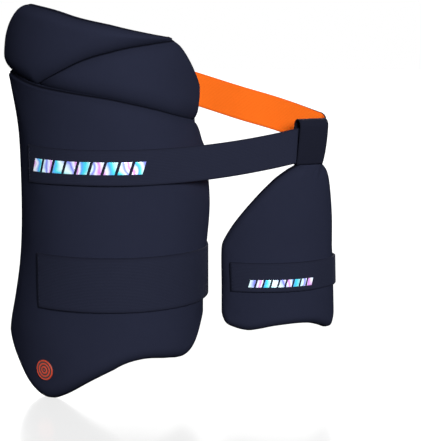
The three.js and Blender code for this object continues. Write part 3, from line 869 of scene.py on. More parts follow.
def middle_top(around):
    under_flap = height_on_pad(FLAP_CREASE, around)
    behind_flap = height_on_pad(HIP_BACK_EDGE, around)
    return np.where(np.asarray(around) < CREASE_END, under_flap, behind_flap) - SEAM


def upper_bottom(around):
    on_pad = height_on_pad(HIP_CREASE, around) + corner(UPPER_LEFT_CORNER, around)
    on_middle = height_on_pad(FLAP_CREASE, around)
    return np.where(np.asarray(around) < CREASE_START, on_pad, on_middle) + SEAM


def upper_top(around):
    return height_on_pad(HIP_TOP_EDGE, around) - UPPER_TOP_LOWERED


print("the hip crease crosses the front at", round(height_on_pad(HIP_CREASE, 0) / MM, 1), "mm")

# %% [markdown]
# The panels fold against each other when the batter bends. The upper panel of each crease rolls
# over softly and shades the one below, which starts bright and sharp. So the roll above a crease
# is wide and deep, and the roll below it is narrow and shallow.

# %% Make the outer guard
FREE_ROLL = (13 * MM, 10 * MM)
OVER_ROLL = (18 * MM, 8 * MM, 0.6)
UNDER_ROLL = (3 * MM, 3.4 * MM)
FLAP_TIP = 0.025
FLAP_INSET = 0.03
MIDDLE_LIFT = 1.0 * MM
UPPER_LIFT = 1.5 * MM


def stand_for(piece, node):
    """Has a piece stand for a node of the frame: hides the node and attaches the piece to the root.
    """
    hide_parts(node)
    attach(piece, "root")
    print(piece.name, "stands for", node, "with", len(piece.data.polygons), "faces")


def make_outer_guard():
    pad = padded_panel(
        "thigh_pad_cover", pad_face, pad_flat, (-1, 1), pad_bottom, pad_top,
        lift=0.0, thickness=PAD_THICKNESS, cells=(130, 130), seed=11,
        rolls={"lower": FREE_ROLL, "upper": UNDER_ROLL, "left": FREE_ROLL, "right": FREE_ROLL},
    )
    middle = padded_panel(
        "hip_flap_middle", pad_face, pad_flat, (CREASE_START + FLAP_INSET, 1),
        middle_bottom, middle_top,
        lift=MIDDLE_LIFT, thickness=PAD_THICKNESS, cells=(120, 56), seed=12,
        rolls={"lower": OVER_ROLL, "upper": UNDER_ROLL, "left": UNDER_ROLL, "right": FREE_ROLL},
    )
    upper = padded_panel(
        "hip_flap_upper", pad_face, pad_flat, (-1, CREASE_END + FLAP_TIP),
        upper_bottom, upper_top,
        lift=UPPER_LIFT, thickness=PAD_THICKNESS, cells=(120, 56), seed=13,
        rolls={"lower": OVER_ROLL, "upper": FREE_ROLL, "left": FREE_ROLL, "right": UNDER_ROLL},
    )
    nodes = ("thigh_pad", "hip_panel_middle", "hip_panel_upper")
    for piece, node in zip((pad, middle, upper), nodes):
        stand_for(piece, node)


make_outer_guard()

# %% [markdown]
# Elastic is a flat band of even width. It is made from stations along its way. Each station is a
# row of places across the band, with the outward direction at each place. Two offsets from those
# places give the band its thickness, which thins at its edges and ends.

# %% Thicken stations into a band
PLACES_ACROSS = 21
ACROSS = np.sin(np.linspace(-math.pi / 2, math.pi / 2, PLACES_ACROSS)) / 2
SOFT_END = 1.2 * MM
SOFT_EDGE = 1.0 * MM
END_SHARE = 0.06
EDGE_SHARE = 0.04


def band(places, out, outer_offset, inner_offset):
    """A closed band with soft edges, between two offsets from its middle."""
    def rounded(share, least):
        return np.sqrt(1 - (1 - np.clip(share, least, 1)) ** 2)

    half, middle = (outer_offset - inner_offset) / 2, (outer_offset + inner_offset) / 2
    along = cloth_measure(places)[..., 0]
    from_end = np.minimum(along - along.min(), along.max() - along) / SOFT_END
    width = np.linalg.norm(places[0, -1] - places[0, 0])
    from_edge = (0.5 - np.abs(ACROSS)) * width / SOFT_EDGE
    thick = rounded(from_end, END_SHARE) * rounded(from_edge, EDGE_SHARE)[None, :]
    thick = (thick * half)[..., None]
    rim = np.broadcast_to(np.abs(ACROSS) * 2, places.shape[:2])
    return skin(places + out * (middle + thick), places + out * (middle - thick), rim, 0, 2)


print("a band has", PLACES_ACROSS, "places across")

# %% [markdown]
# On a pad the places of a station follow its face. A strap is cut square, so the ends of a strap
# on the pad stand upright as they are seen from the front, although the pad narrows there.

# %% Lay stations on a pad
SINK_START = 50


def stations_on(face, along, level, width, offset):
    """Places of a band that lies on a face, and the face's outward directions there."""
    z = level + ACROSS[None, :] * width
    along, z = np.broadcast_arrays(along, z)
    out = outward(face, along, z)
    return face(along, z) + out * offset, out


def around_at(x, z):
    """The share of the pad's wrap at which its face has a given x at a given height."""
    quarter = math.pi / 2 / PAD_WRAP
    left, right = pad_face(-quarter, z)[..., 0], pad_face(quarter, z)[..., 0]
    return np.arcsin(np.clip(x / np.where(x < 0, -left, right), -1, 1)) / PAD_WRAP


def fade(values, low, high):
    """0 below low, 1 above high, and smooth between them."""
    share = np.clip((values - low) / (high - low), 0, 1)
    return share * share * (3 - 2 * share)


def upright_stations(from_angle, to_angle, count, level, width, offset, sunk=0.0):
    """Stations on the outer face whose ends stand upright, as a strap is cut. Past the crown
    a tight strap sinks into the foam by up to a given depth."""
    angle = np.linspace(from_angle, to_angle, count)
    middle = np.radians(angle) / PAD_WRAP
    x = pad_face(middle, np.full(count, level))[:, 0][:, None]
    z = level + ACROSS[None, :] * width
    depth = (offset - sunk * fade(angle, SINK_START, to_angle))[:, None, None]
    return stations_on(pad_face, around_at(x, z), level, width, depth)


print("a place 50 mm to the right is at", round(float(around_at(50 * MM, 0)), 2), "of the wrap")

# %% [markdown]
# In the air a band follows a smooth curve through a few points. Its stations stand square to the
# way it runs and upright in between, and lean as the pad does where they leave it or reach it.

# %% Run stations through the air
LEAN_FADE = 3
STEEPEST = 0.955


def route_curve(points, shares):
    """Centripetal Catmull-Rom curve through points, read at shares of its whole."""
    points = np.array(points, float)
    first = 2 * points[0] - points[1]
    last = 2 * points[-1] - points[-2]
    padded = np.concatenate([[first], points, [last]])
    place = np.clip(np.asarray(shares), 0, 1) * (len(points) - 1)
    k = np.minimum(place.astype(int), len(points) - 2)
    t = (place - k)[:, None]
    p0, p1, p2, p3 = padded[k], padded[k + 1], padded[k + 2], padded[k + 3]

    def pace(a, b):
        return np.maximum(np.linalg.norm(a - b, axis=-1, keepdims=True) ** 0.5, 1e-6)

    d0, d1, d2 = pace(p0, p1), pace(p1, p2), pace(p2, p3)
    t1 = ((p1 - p0) / d0 - (p2 - p0) / (d0 + d1) + (p2 - p1) / d1) * d1
    t2 = ((p2 - p1) / d1 - (p3 - p1) / (d1 + d2) + (p3 - p2) / d2) * d1
    bend = -3 * p1 + 3 * p2 - 2 * t1 - t2
    return p1 + t1 * t + bend * t ** 2 + (2 * p1 - 2 * p2 + t1 + t2) * t ** 3


def free_stations(points, width, start_lean, end_lean):
    """Places and outward directions of a band that runs free through points. Its rows stand
    along the lean even where it climbs, as on a ribbon that is wound round a post."""
    heading = unit(np.gradient(points, axis=0))
    share = np.linspace(0, 1, len(points))[:, None]
    upright = np.array([0, 0, 1.0])
    near_start = (1 - share) ** LEAN_FADE
    lean = upright * (1 - near_start) + start_lean * near_start
    lean = lean * (1 - share ** LEAN_FADE) + end_lean * share ** LEAN_FADE
    square = np.cross(heading, lean)
    side = lean / np.maximum(np.linalg.norm(square, axis=-1, keepdims=True), STEEPEST)
    places = points[:, None, :] + ACROSS[None, :, None] * width * side[:, None, :]
    return places, np.broadcast_to(unit(square)[:, None, :], places.shape)


def lean_of(places):
    """The direction across a band at one station."""
    return unit(places[-1] - places[0])


def join(*runs):
    """Runs of stations, one after the other, as one run."""
    return tuple(np.concatenate(parts) for parts in zip(*runs))


bend = route_curve([(0, 0), (1, 1), (2, 0)], [0.25])[0]
print("a curve through three points bows to", np.round(bend, 2))

# %% [markdown]
# Behind each crease the panels are joined by a strip of tape, which is the hinge that they fold
# on. It lies on the lining along the whole crease. The cover itself runs on from the pad to the
# flaps at the bottom of the groove, so a narrow strip of knit closes the hip crease half-way down.

# %% Close and tape the creases
TAPE_WIDTH = 17 * MM
TAPE_HALF = 0.35 * MM
TAPE_DEPTH = PAD_THICKNESS + 0.5 * MM
TAPE_MARGIN = 3 * MM
GROOVE_WIDTH = 12 * MM
GROOVE_DEPTH = 8 * MM
GROOVE_HALF = 1 * MM
GROOVE_DROP = 1.5 * MM
STRIP_STATIONS = 90


def length_of(stations):
    """Length of a band along its middle."""
    middle = stations[0].mean(1)
    return np.linalg.norm(np.diff(middle, axis=0), axis=1).sum()


def crease_strip(name, table, span, width, depth, half, material, drop=0.0):
    """A strip that follows a crease, or runs a drop under it, at a depth below the pad's face."""
    around = np.linspace(*span, STRIP_STATIONS)[:, None]
    level = height_on_pad(table, around) - drop
    room = 2 * (height_on_pad(HIP_TOP_EDGE, around) - level - TAPE_MARGIN)
    stations = stations_on(pad_face, around, level, np.minimum(width, room), -depth)
    strip = put_mesh(name, [material], *band(*stations, half, -half))
    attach(strip, "root")
    print(name, "is", round(length_of(stations) / MM), "mm long")
    return stations


tapes = [
    crease_strip("hip_crease_tape", HIP_CREASE, (-0.97, 0.93), TAPE_WIDTH,
                 TAPE_DEPTH, TAPE_HALF, navy_webbing),
    crease_strip("flap_crease_tape", FLAP_CREASE, (-0.53, 0.42), TAPE_WIDTH,
                 TAPE_DEPTH + 2 * TAPE_HALF, TAPE_HALF, navy_webbing),
]
crease_strip("hip_crease_groove", HIP_CREASE, (-0.985, 0.945), GROOVE_WIDTH,
             GROOVE_DEPTH, GROOVE_HALF, navy_knit, GROOVE_DROP)

# %% [markdown]
# The thigh strap is one length of elastic. It is sewn on the pad's face, leaves it past the right
# side, goes round the back of the thigh, and is sewn again inside the left edge.

# %% Make the thigh strap
STRAP_THICKNESS = 2.6 * MM
SEAT_GAP = 0.3 * MM
ANCHOR_GAP = 0.8 * MM
STRAP_LAP = 22 * MM
ANCHOR_START = -77
ANCHOR_END = ANCHOR_START + math.degrees(STRAP_LAP / THIGH_RADIUS)
THIGH_STRAP_WIDTH = 56 * MM
THIGH_STRAP_LEVEL = -56.5 * MM
THIGH_STRAP_SUNK = 1.8 * MM
THIGH_STRAP_SPAN = (-45, 77)
FACE_STATIONS = 76
ANCHOR_STATIONS = 12
BEHIND_STATIONS = 150
HEADING_STATIONS = 4
THIGH_STRAP_ROUTE = (
    (92, 1.14), (110, 1.08), (135, 1.04), (180, 1.03), (225, 1.03), (254, 1.035),
)


def round_thigh(turn, radius, z):
    """A point at an angle round the thigh's axis."""
    angle = math.radians(turn)
    return np.array([radius * math.sin(angle), AXIS_DEPTH - radius * math.cos(angle), z])


def anchor_stations(level, width, offset):
    """The stations of a strap's end on the lining."""
    angle = np.linspace(ANCHOR_START, ANCHOR_END, ANCHOR_STATIONS)
    middle = np.radians(angle)[:, None] / PAD_WRAP
    return stations_on(pad_face, middle, level, width, -PAD_THICKNESS - offset)


def closed_round(on_face, route, on_back, width, count):
    """A strap's stations on a face, on behind it, and back to its inner side."""
    middles = [places.mean(1) for places, _ in (on_face, on_back)]
    before = middles[0][-HEADING_STATIONS]
    points = [before, middles[0][-1], *route, middles[1][0], middles[1][-1]]
    segments = len(points) - 1
    shares = (1 + (segments - 2) * np.linspace(0, 1, count)) / segments
    leans = lean_of(on_face[0][-1]), lean_of(on_back[0][0])
    free = free_stations(route_curve(points, shares), width, *leans)
    return join(on_face, tuple(part[1:-1] for part in free), on_back)


def make_thigh_strap():
    half = STRAP_THICKNESS / 2
    on_face = upright_stations(
        *THIGH_STRAP_SPAN, FACE_STATIONS, THIGH_STRAP_LEVEL, THIGH_STRAP_WIDTH,
        SEAT_GAP + half, THIGH_STRAP_SUNK
    )
    on_back = anchor_stations(THIGH_STRAP_LEVEL, THIGH_STRAP_WIDTH, ANCHOR_GAP + half)
    route = [
        round_thigh(turn, reach * THIGH_RADIUS, THIGH_STRAP_LEVEL)
        for turn, reach in THIGH_STRAP_ROUTE
    ]
    stations = closed_round(on_face, route, on_back, THIGH_STRAP_WIDTH, BEHIND_STATIONS)
    webbing = put_mesh("thigh_strap_webbing", [navy_elastic], *band(*stations, half, -half))
    stand_for(webbing, "thigh_strap")
    return stations


thigh_strap = make_thigh_strap()

# %% [markdown]
# The waist belt stands off the pad from its crown to the loop, turns there round the inner pad's
# hanger, and comes back behind the body, climbing to the hip, where it is sewn inside the upper
# panel. Stretched elastic is narrower, so the belt is widest at its sewn end.

# %% Route of the waist belt
WAIST_STRAP_WIDTH = 36.5 * MM
WAIST_STRAP_LEVEL = 61.5 * MM
BELT_LAYER = 1.2 * MM
BELT_HALF = BELT_LAYER + 0.15 * MM
BELT_RISE = 19.5 * MM
BELT_TURN_RADIUS = 6.0 * MM
BELT_TURN_ANGLE = 125
BELT_TURN_CLIMB = 8.5 * MM
BELT_END_ANGLE = -54.5
HIP_ANCHOR_LEVEL = 177 * MM
ON_PAD_STATIONS = 64
STRAIGHT_STATIONS = 52
TURN_STATIONS = 15
BACK_STATIONS = 110
SEWN_END_WIDER = 0.075
AT_REST = (0.05, 0.45)
BELT_TURN_START = np.array([213.3 * MM, 67 * MM, WAIST_STRAP_LEVEL + BELT_RISE])
BELT_BACK_ROUTE = (
    (97.6, 2.11, 1.15), (109, 1.67, 1.45), (128.5, 1.33, 1.79), (152, 1.16, 2.1),
    (182, 1.13, 2.42), (214, 1.12, 2.7), (246, 1.13, 2.95),
)


def leaving_angle(target, z):
    """The angle at which a straight line to a far point leaves the pad's face."""
    quarter = pad_face(math.pi / 2 / PAD_WRAP, z)[0]
    front = AXIS_DEPTH - pad_face(0.0, z)[1]
    a, b = target[0] / quarter, (AXIS_DEPTH - target[1]) / front
    return math.degrees(math.atan2(a, b) - math.acos(1 / math.hypot(a, b)))


def turned(vectors, angle):
    """Vectors turned about the upright axis."""
    c, s = math.cos(angle), math.sin(angle)
    x, y, z = vectors[..., 0], vectors[..., 1], vectors[..., 2]
    return np.stack([x * c - y * s, x * s + y * c, z], -1)


def belt_on_pad():
    """Stations on the pad's face, widest at the sewn end, where the elastic is at rest."""
    leaves = leaving_angle(BELT_TURN_START, WAIST_STRAP_LEVEL)
    at_rest = 1 - fade(np.linspace(0, 1, ON_PAD_STATIONS), *AT_REST)[:, None]
    widths = WAIST_STRAP_WIDTH * (1 + SEWN_END_WIDER * at_rest)
    return upright_stations(
        BELT_END_ANGLE, leaves, ON_PAD_STATIONS, WAIST_STRAP_LEVEL, widths, SEAT_GAP + BELT_HALF
    )


def belt_straight(leave):
    """Points on the straight way from the pad to the loop."""
    share = np.linspace(0, 1, STRAIGHT_STATIONS)[:, None]
    points = leave + (BELT_TURN_START - leave) * share
    points[:, 2] = leave[2] + (BELT_TURN_START[2] - leave[2]) * share[:, 0] ** 2
    return points


def belt_turn(leftwards):
    """Points on the turn round the loop, which climbs a little."""
    centre = BELT_TURN_START + leftwards * BELT_TURN_RADIUS
    turn = []
    for part in np.linspace(0, 1, TURN_STATIONS)[1:]:
        spoke = turned(-leftwards, math.radians(BELT_TURN_ANGLE) * part)
        climb = np.array([0, 0, BELT_TURN_CLIMB * part])
        turn.append(centre + spoke * BELT_TURN_RADIUS + climb)
    return turn


def belt_back(start, on_hip):
    """Points on the way back behind the body, up to the hip."""
    route = [
        round_thigh(angle, reach * THIGH_RADIUS, WAIST_STRAP_LEVEL + rise * WAIST_STRAP_WIDTH)
        for angle, reach, rise in BELT_BACK_ROUTE
    ]
    points = [start, *route, on_hip[0][0].mean(0), on_hip[0][-1].mean(0)]
    end = (len(route) + 1) / (len(route) + 2)
    return route_curve(points, end * np.linspace(0, 1, BACK_STATIONS))[1:]


def belt_stations():
    """All stations of the belt, and the level direction in which it reaches the loop."""
    on_pad = belt_on_pad()
    on_hip = anchor_stations(HIP_ANCHOR_LEVEL, WAIST_STRAP_WIDTH, ANCHOR_GAP + BELT_HALF)
    leave = on_pad[0][-1].mean(0)
    heading = unit((BELT_TURN_START - leave) * np.array([1, 1, 0]))
    turn = belt_turn(np.array([-heading[1], heading[0], 0]))
    line = np.concatenate([belt_straight(leave), turn, belt_back(turn[-1], on_hip)])
    leans = lean_of(on_pad[0][-1]), lean_of(on_hip[0][0])
    free = free_stations(line, WAIST_STRAP_WIDTH, *leans)
    return join(on_pad, tuple(part[1:-1] for part in free), on_hip), heading


belt, belt_heading = belt_stations()
print("the belt is", round(length_of(belt) / MM), "mm long")

# %% [markdown]
# The belt is two elastics sewn back to back, navy outside and orange inside. Before the turn the
# navy one is nearer to the camera, and past it the orange one. The one that is further away is a
# little narrower, so that its edges don't show past the other.

# %% Make the waist belt
LAYER_GAP = 0.02 * MM
LAYER_WIDTH = 0.975
DRAWN_IN = 0.045
PAST_TURN_STATIONS = 40


def narrowed(places, shares):
    """The same stations, each drawn in across the band to a share of its width."""
    middle = places.mean(1, keepdims=True)
    return middle + (places - middle) * np.asarray(shares)[:, None, None]


def make_waist_belt(places, out):
    """The navy layer and the orange one; the one that is further away is drawn in."""
    turn_at = ON_PAD_STATIONS + STRAIGHT_STATIONS
    past_turn = fade(np.arange(len(places)), turn_at, turn_at + PAST_TURN_STATIONS)
    navy = narrowed(places, LAYER_WIDTH - DRAWN_IN * past_turn)
    orange = narrowed(places, LAYER_WIDTH - DRAWN_IN * (1 - past_turn))
    layers = (
        ("waist_belt", "navy_elastic", navy_elastic, band(navy, out, BELT_HALF, 0.0)),
        ("waist_belt_lining", "orange_elastic", orange_elastic,
         band(orange, out, -LAYER_GAP, -BELT_HALF)),
    )
    for node, slot, material, layer in layers:
        stand_for(put_mesh(node + "_webbing", [material], *layer), node)


make_waist_belt(*belt)

# %% [markdown]
# The inner pad hangs from the belt by a loop of webbing. Its own frame starts at the middle of its
# neck, turned a little to the right. The face is a cylinder with its crown left of the neck.

# %% Tables and face of the inner pad
INNER_THICKNESS = 12 * MM
INNER_WIDTH = 120 * MM
INNER_HEIGHT = 174 * MM
INNER_CURVE = 95 * MM
INNER_CROWN = -0.26 * INNER_WIDTH
INNER_YAW = math.radians(10)
HANGER_LENGTH = 29.3 * MM
HANGER_OVERRUN = 4.2 * MM
HANGER_WALL = 1.5 * MM
HANGER_SLOT_HEIGHT = 44.4 * MM
HANGER_SLOT_DEPTH = 6.4 * MM
HANGER_ROOM = 2.4 * MM
HANGER_TOP = BELT_TURN_START[2] + WAIST_STRAP_WIDTH / 2 + HANGER_ROOM
NECK_FROM_TURN = 15 * MM
NECK_FRONT = HANGER_SLOT_DEPTH / 2 + HANGER_WALL
INNER_SIDES = {
    "left": ((0, -0.768), (0.26, -0.768), (0.48, -0.77), (0.54, -0.755), (0.66, -0.655),
             (0.8, -0.488), (0.915, -0.312), (0.97, -0.19), (1, -0.1)),
    "right": ((0, 0.33), (0.26, 0.316), (0.48, 0.297), (0.54, 0.294), (0.66, 0.288),
              (0.8, 0.268), (0.915, 0.239), (0.97, 0.205), (1, 0.162)),
}
INNER_LOWER_EDGE = (
    (0, 0.086), (0.03, 0.036), (0.09, 0.012), (0.2, -0.003), (0.3, 0.007), (0.42, 0.023),
    (0.6, 0.032), (0.75, 0.025), (0.85, 0.001), (0.92, -0.021), (0.965, -0.016), (1, 0.04),
)


def inner_sag(x):
    """How far the face falls back from its crown."""
    return INNER_CURVE - np.sqrt(INNER_CURVE ** 2 - (x - INNER_CROWN) ** 2)


def inner_face(across, z):
    across, z = np.broadcast_arrays(np.asarray(across, float), np.asarray(z, float))
    up = 1 + z / INNER_HEIGHT
    left = smooth(INNER_SIDES["left"], up) * INNER_WIDTH
    right = smooth(INNER_SIDES["right"], up) * INNER_WIDTH
    x = left + (right - left) * across
    return np.stack([x, inner_sag(x) - inner_sag(0.0) - NECK_FRONT, z], -1)


def inner_flat(across, z):
    """The inner pad's face seen square on, in metres."""
    return inner_face(across, z)[..., [0, 2]]


neck = BELT_TURN_START - belt_heading * NECK_FROM_TURN
neck[2] = HANGER_TOP - HANGER_SLOT_HEIGHT - HANGER_WALL - SEAT_GAP


def place_inner(points):
    """From the inner pad's own frame to the guard's."""
    return turned(points, INNER_YAW) + neck


print("the neck hangs at", np.round(neck / MM, 1), "mm")

# %% [markdown]
# The inner pad is a panel like the others, but its top rolls over tightly, since it is sewn into
# the loop. Its strap is sewn on the face, goes round the back of the other thigh and is sewn again
# on the lining. Both are laid out in the inner pad's own frame and then turned and moved with it.

# %% Make the inner pad and its strap
INNER_FREE_ROLL = (9 * MM, 7 * MM)
INNER_STRAP_WIDTH = 31 * MM
INNER_STRAP_LEVEL = -116.5 * MM
INNER_STRAP_SUNK = 2.2 * MM
INNER_SINK_START = 0.7
INNER_STRAP_ON_FACE = (0.09, 0.95)
INNER_STRAP_ON_BACK = (0.03, 0.2)
INNER_FACE_STATIONS = 50
INNER_BEHIND_STATIONS = 130
INNER_STRAP_ROUTE = (
    (0.312, 0.31), (0.29, 0.46), (0.21, 0.78), (0.02, 1.02), (-0.25, 1.09), (-0.47, 0.95),
    (-0.61, 0.7), (-0.655, 0.48),
)


def inner_lower(across):
    return (smooth(INNER_LOWER_EDGE, across) - 1) * INNER_HEIGHT


def inner_upper(across):
    return np.zeros_like(np.asarray(across, float))


def placed_inner_face(across, z):
    return place_inner(inner_face(across, z))


def make_inner_pad():
    pad = padded_panel(
        "inner_pad_cover", placed_inner_face, inner_flat, (0, 1), inner_lower, inner_upper,
        lift=0.0, thickness=INNER_THICKNESS, cells=(100, 120), seed=14,
        rolls={"lower": INNER_FREE_ROLL, "upper": INNER_NECK_ROLL, "left": INNER_FREE_ROLL,
               "right": INNER_FREE_ROLL},
    )
    stand_for(pad, "inner_pad")


def make_inner_strap():
    half = STRAP_THICKNESS / 2
    width, level = INNER_STRAP_WIDTH, INNER_STRAP_LEVEL
    on_face_at = np.linspace(*INNER_STRAP_ON_FACE, INNER_FACE_STATIONS)[:, None]
    on_back_at = np.linspace(*INNER_STRAP_ON_BACK, ANCHOR_STATIONS)[:, None]
    sunk = INNER_STRAP_SUNK * fade(on_face_at, INNER_SINK_START, INNER_STRAP_ON_FACE[1])
    on_face = stations_on(
        inner_face, on_face_at, level, width, SEAT_GAP + half - sunk[:, :, None]
    )
    on_back = stations_on(
        inner_face, on_back_at, level, width, -INNER_THICKNESS - ANCHOR_GAP - half
    )
    route = [
        np.array([across * INNER_WIDTH, back * INNER_CURVE, level])
        for across, back in INNER_STRAP_ROUTE
    ]
    places, out = closed_round(on_face, route, on_back, width, INNER_BEHIND_STATIONS)
    stations = place_inner(places), turned(out, INNER_YAW)
    webbing = put_mesh("inner_strap_webbing", [navy_elastic], *band(*stations, half, -half))
    stand_for(webbing, "inner_strap")
    return stations


make_inner_pad()
inner_strap = make_inner_strap()

# %% [markdown]
# The hanger loop is a length of the same webbing folded over the belt. The fold at the top is
# round and full, the sides lie nearly flat, and the two ends are sewn together into the neck.

# %% Make the hanger loop
HANGER_TOP_HALF = 7.4 * MM
HANGER_FOOT_HALF = 3.2 * MM
HANGER_TAPER = 4.0 * MM
HANGER_FLARE = 2.2 * MM
HANGER_PUFF = 0.4 * MM
HANGER_EASE = 3.2 * MM
HANGER_BOW = 0.7
TAPER_POWER = 2.4
LIP_ROUND = 22
LIP_LEAST = 0.1
LIP_DEPTH = 0.45
WALL_ROWS = 26
FOLD_ROWS = 21
HANGER_CELLS = 26


def loop_profile(top_half, foot_half, top, bottom):
    """Points of one turn round the loop, in depth and height, from the foot of its front."""
    arc = np.linspace(0, math.pi, FOLD_ROWS)
    rising = np.linspace(0, 1, WALL_ROWS)
    half = foot_half + (top_half - foot_half) * rising ** HANGER_BOW
    height = bottom + (top - top_half - bottom) * rising
    fold = np.stack([top_half * np.cos(arc), top - top_half + top_half * np.sin(arc)], -1)
    front, back = np.stack([half, height], -1), np.stack([-half, height], -1)[::-1]
    return np.concatenate([front, fold[1:-1], back])


def make_hanger_loop():
    side = np.array([-belt_heading[1], belt_heading[0], 0])
    base = BELT_TURN_START + belt_heading * (HANGER_OVERRUN - HANGER_LENGTH - HANGER_EASE)
    base[2] = HANGER_TOP
    length = HANGER_LENGTH + HANGER_EASE
    foot = -HANGER_SLOT_HEIGHT - HANGER_WALL
    along = crowded(HANGER_CELLS)[:, None]
    from_lip = np.clip(np.minimum(along, 1 - along) * LIP_ROUND, LIP_LEAST, 1)
    lip = np.sqrt(1 - (1 - from_lip) ** 2)

    def lay(profile, sign):
        """Lays a profile along the belt; sign is 1 on the outside and -1 on the inside."""
        depth, height = profile[None, :, 0], profile[None, :, 1]
        low = np.clip(-height / -foot, 0, 1)
        start = -HANGER_FLARE * low
        reach = start + along * (length - start - HANGER_TAPER * low ** TAPER_POWER)
        puff = HANGER_PUFF * np.sin(math.pi * along) * np.sin(math.pi * low) * (sign > 0)
        lip_drop = sign * (1 - lip) * HANGER_WALL * LIP_DEPTH
        across = depth + np.sign(depth) * (puff - lip_drop)
        spot = reach[..., None] * belt_heading + across[..., None] * side
        return base + spot + np.stack([0 * across, 0 * across, height + 0 * across], -1)

    outer = lay(loop_profile(HANGER_TOP_HALF, HANGER_FOOT_HALF, HANGER_WALL, foot), 1)
    slot_top, slot_foot = HANGER_TOP_HALF - HANGER_WALL, HANGER_FOOT_HALF - HANGER_WALL
    inner = lay(loop_profile(slot_top, slot_foot, 0, foot), -1)
    rim = np.broadcast_to(np.abs(2 * along - 1), outer.shape[:2])
    points, quads, kinds, marks = skin(outer, inner, rim, 0)
    # The profile climbs the front first, which has the faces point inwards, so they are reversed.
    webbing = put_mesh("hanger_webbing", [navy_webbing], points, quads[:, ::-1], kinds, marks)
    stand_for(webbing, "hanger_loop")


make_hanger_loop()

# %% [markdown]
# The roundel is a moulded rubber disc with plain rings, bonded to the face near the lower tip. It
# is rings of points that follow the pad, from the middle over the edge and back underneath to the
# middle, where the last meets the first, so the disc is closed. Where the foam curves away under
# it, it has drawn in a little from side to side.

# %% Make the roundel
ROUNDEL_AROUND = -0.466
ROUNDEL_LEVEL = -148.2 * MM
ROUNDEL_RADIUS = 21.5 / 2 * MM
ROUNDEL_SQUEEZE = 0.88
ROUNDEL_THICKNESS = 1.2 * MM
RING_PLACES = (0.0, 0.3, 0.6, 0.9)
RING_HALF_WIDTH = 0.075
RING_HEIGHT = 0.4 * MM
EDGE_START = 0.93
EDGE_DROP = 0.8
FIRST_RING = 0.002
RINGS = 72
SPOKES = 96


def ring_share(radius):
    """1 on top of a ring and 0 between the rings."""
    rings = [np.exp(-np.abs((radius - middle) / RING_HALF_WIDTH) ** 4) for middle in RING_PLACES]
    return np.maximum.reduce(rings)


def roundel_height(radius):
    """The moulded profile, from the middle to the edge."""
    height = ROUNDEL_THICKNESS - RING_HEIGHT * (1 - ring_share(radius))
    edge = np.clip((radius - EDGE_START) / (1 - EDGE_START), 0, 1)
    return height * np.sqrt(1 - edge ** 2 * EDGE_DROP)


def make_roundel():
    radius = np.linspace(FIRST_RING, 1, RINGS)[:, None]
    angle = np.linspace(0, 2 * math.pi, SPOKES, endpoint=False)[None, :]
    sideways = radius * np.cos(angle) * ROUNDEL_RADIUS * ROUNDEL_SQUEEZE
    upwards = radius * np.sin(angle) * ROUNDEL_RADIUS
    share = ROUNDEL_AROUND + sideways / (PAD_HALF_WIDTH * PAD_WRAP)
    z = ROUNDEL_LEVEL + upwards
    face, out = pad_face(share, z), outward(pad_face, share, z)
    radius = np.broadcast_to(radius, z.shape)
    top = face + out * (SEAT_GAP + roundel_height(radius))[..., None]
    under = face + out * (SEAT_GAP * 0.5)
    points = np.concatenate([top.reshape(-1, 3), under.reshape(-1, 3)])
    index = np.arange(z.size).reshape(z.shape)
    quads = round_quads(np.concatenate([index, index[::-1] + z.size, index[:1]]))
    flat = np.stack([sideways, upwards, np.zeros_like(z)], -1).reshape(-1, 3)
    ground = 1 - ring_share(radius).ravel()
    marks = {"cloth": np.concatenate([flat, flat]), "rim": np.concatenate([ground, ground])}
    kinds = np.zeros(len(quads))
    disc = put_mesh("roundel_moulding", [orange_rubber], points, quads, kinds, marks)
    stand_for(disc, "roundel")


make_roundel()

# %% [markdown]
# What is sewn or pressed on a strap has its place as a run along the strap and a share across it.
# Both are looked up between the strap's stations, and the result is a point and the outward
# direction there, so a mark bends with the strap.

# %% Find places on a band
def on_band(stations, run, share):
    """Points and outward directions at runs in metres and shares across a band."""
    places, out = stations
    middle = places.mean(1)
    total = np.concatenate([[0], np.cumsum(np.linalg.norm(np.diff(middle, axis=0), axis=1))])
    run, share = np.broadcast_arrays(run, share)
    row = np.interp(run, total, np.arange(len(total)))
    column = np.interp(share, ACROSS, np.arange(len(ACROSS)))
    i = np.minimum(row.astype(int), len(total) - 2)
    j = np.minimum(column.astype(int), len(ACROSS) - 2)
    u, v = (row - i)[..., None], (column - j)[..., None]

    def between(field):
        low = field[i, j] * (1 - v) + field[i, j + 1] * v
        high = field[i + 1, j] * (1 - v) + field[i + 1, j + 1] * v
        return low * (1 - u) + high * u

    return between(places), unit(between(out))


print("a place 40 mm along the belt:", np.round(on_band(belt, 0.04, 0.0)[0] / MM, 1), "mm")

# %% [markdown]
# The waist belt and the inner strap each carry a row of plain slanted foil bars, pressed on near a
# sewn end. A bar is a thin plate whose ends lean, and its lean is a shift along the strap that
# grows across it.

# %% Press the foil bars
FOIL_THICKNESS = 0.14 * MM
FOIL_LEAN = 0.32
FOIL_SUNK = 0.05 * MM
FOIL_CELLS = 8


def foil_bar(stations, start, length, low, high, width, offset):
    """One slanted bar between two shares across a strap of a given width."""
    along = crowded(FOIL_CELLS)[:, None] * length
    share = low + (high - low) * crowded(FOIL_CELLS)[None, :]
    run = start + along + (share - low) * width * FOIL_LEAN
    point, out = on_band(stations, run, share)
    top = point + out * (offset + FOIL_THICKNESS)
    under = point + out * (offset - FOIL_SUNK)
    points, quads, kinds, marks = skin(top, under, np.zeros(point.shape[:2]), 0, 2)
    marks["cloth"] = marks["cloth"] + np.array([start, 0, 0])
    return points, quads, kinds, marks


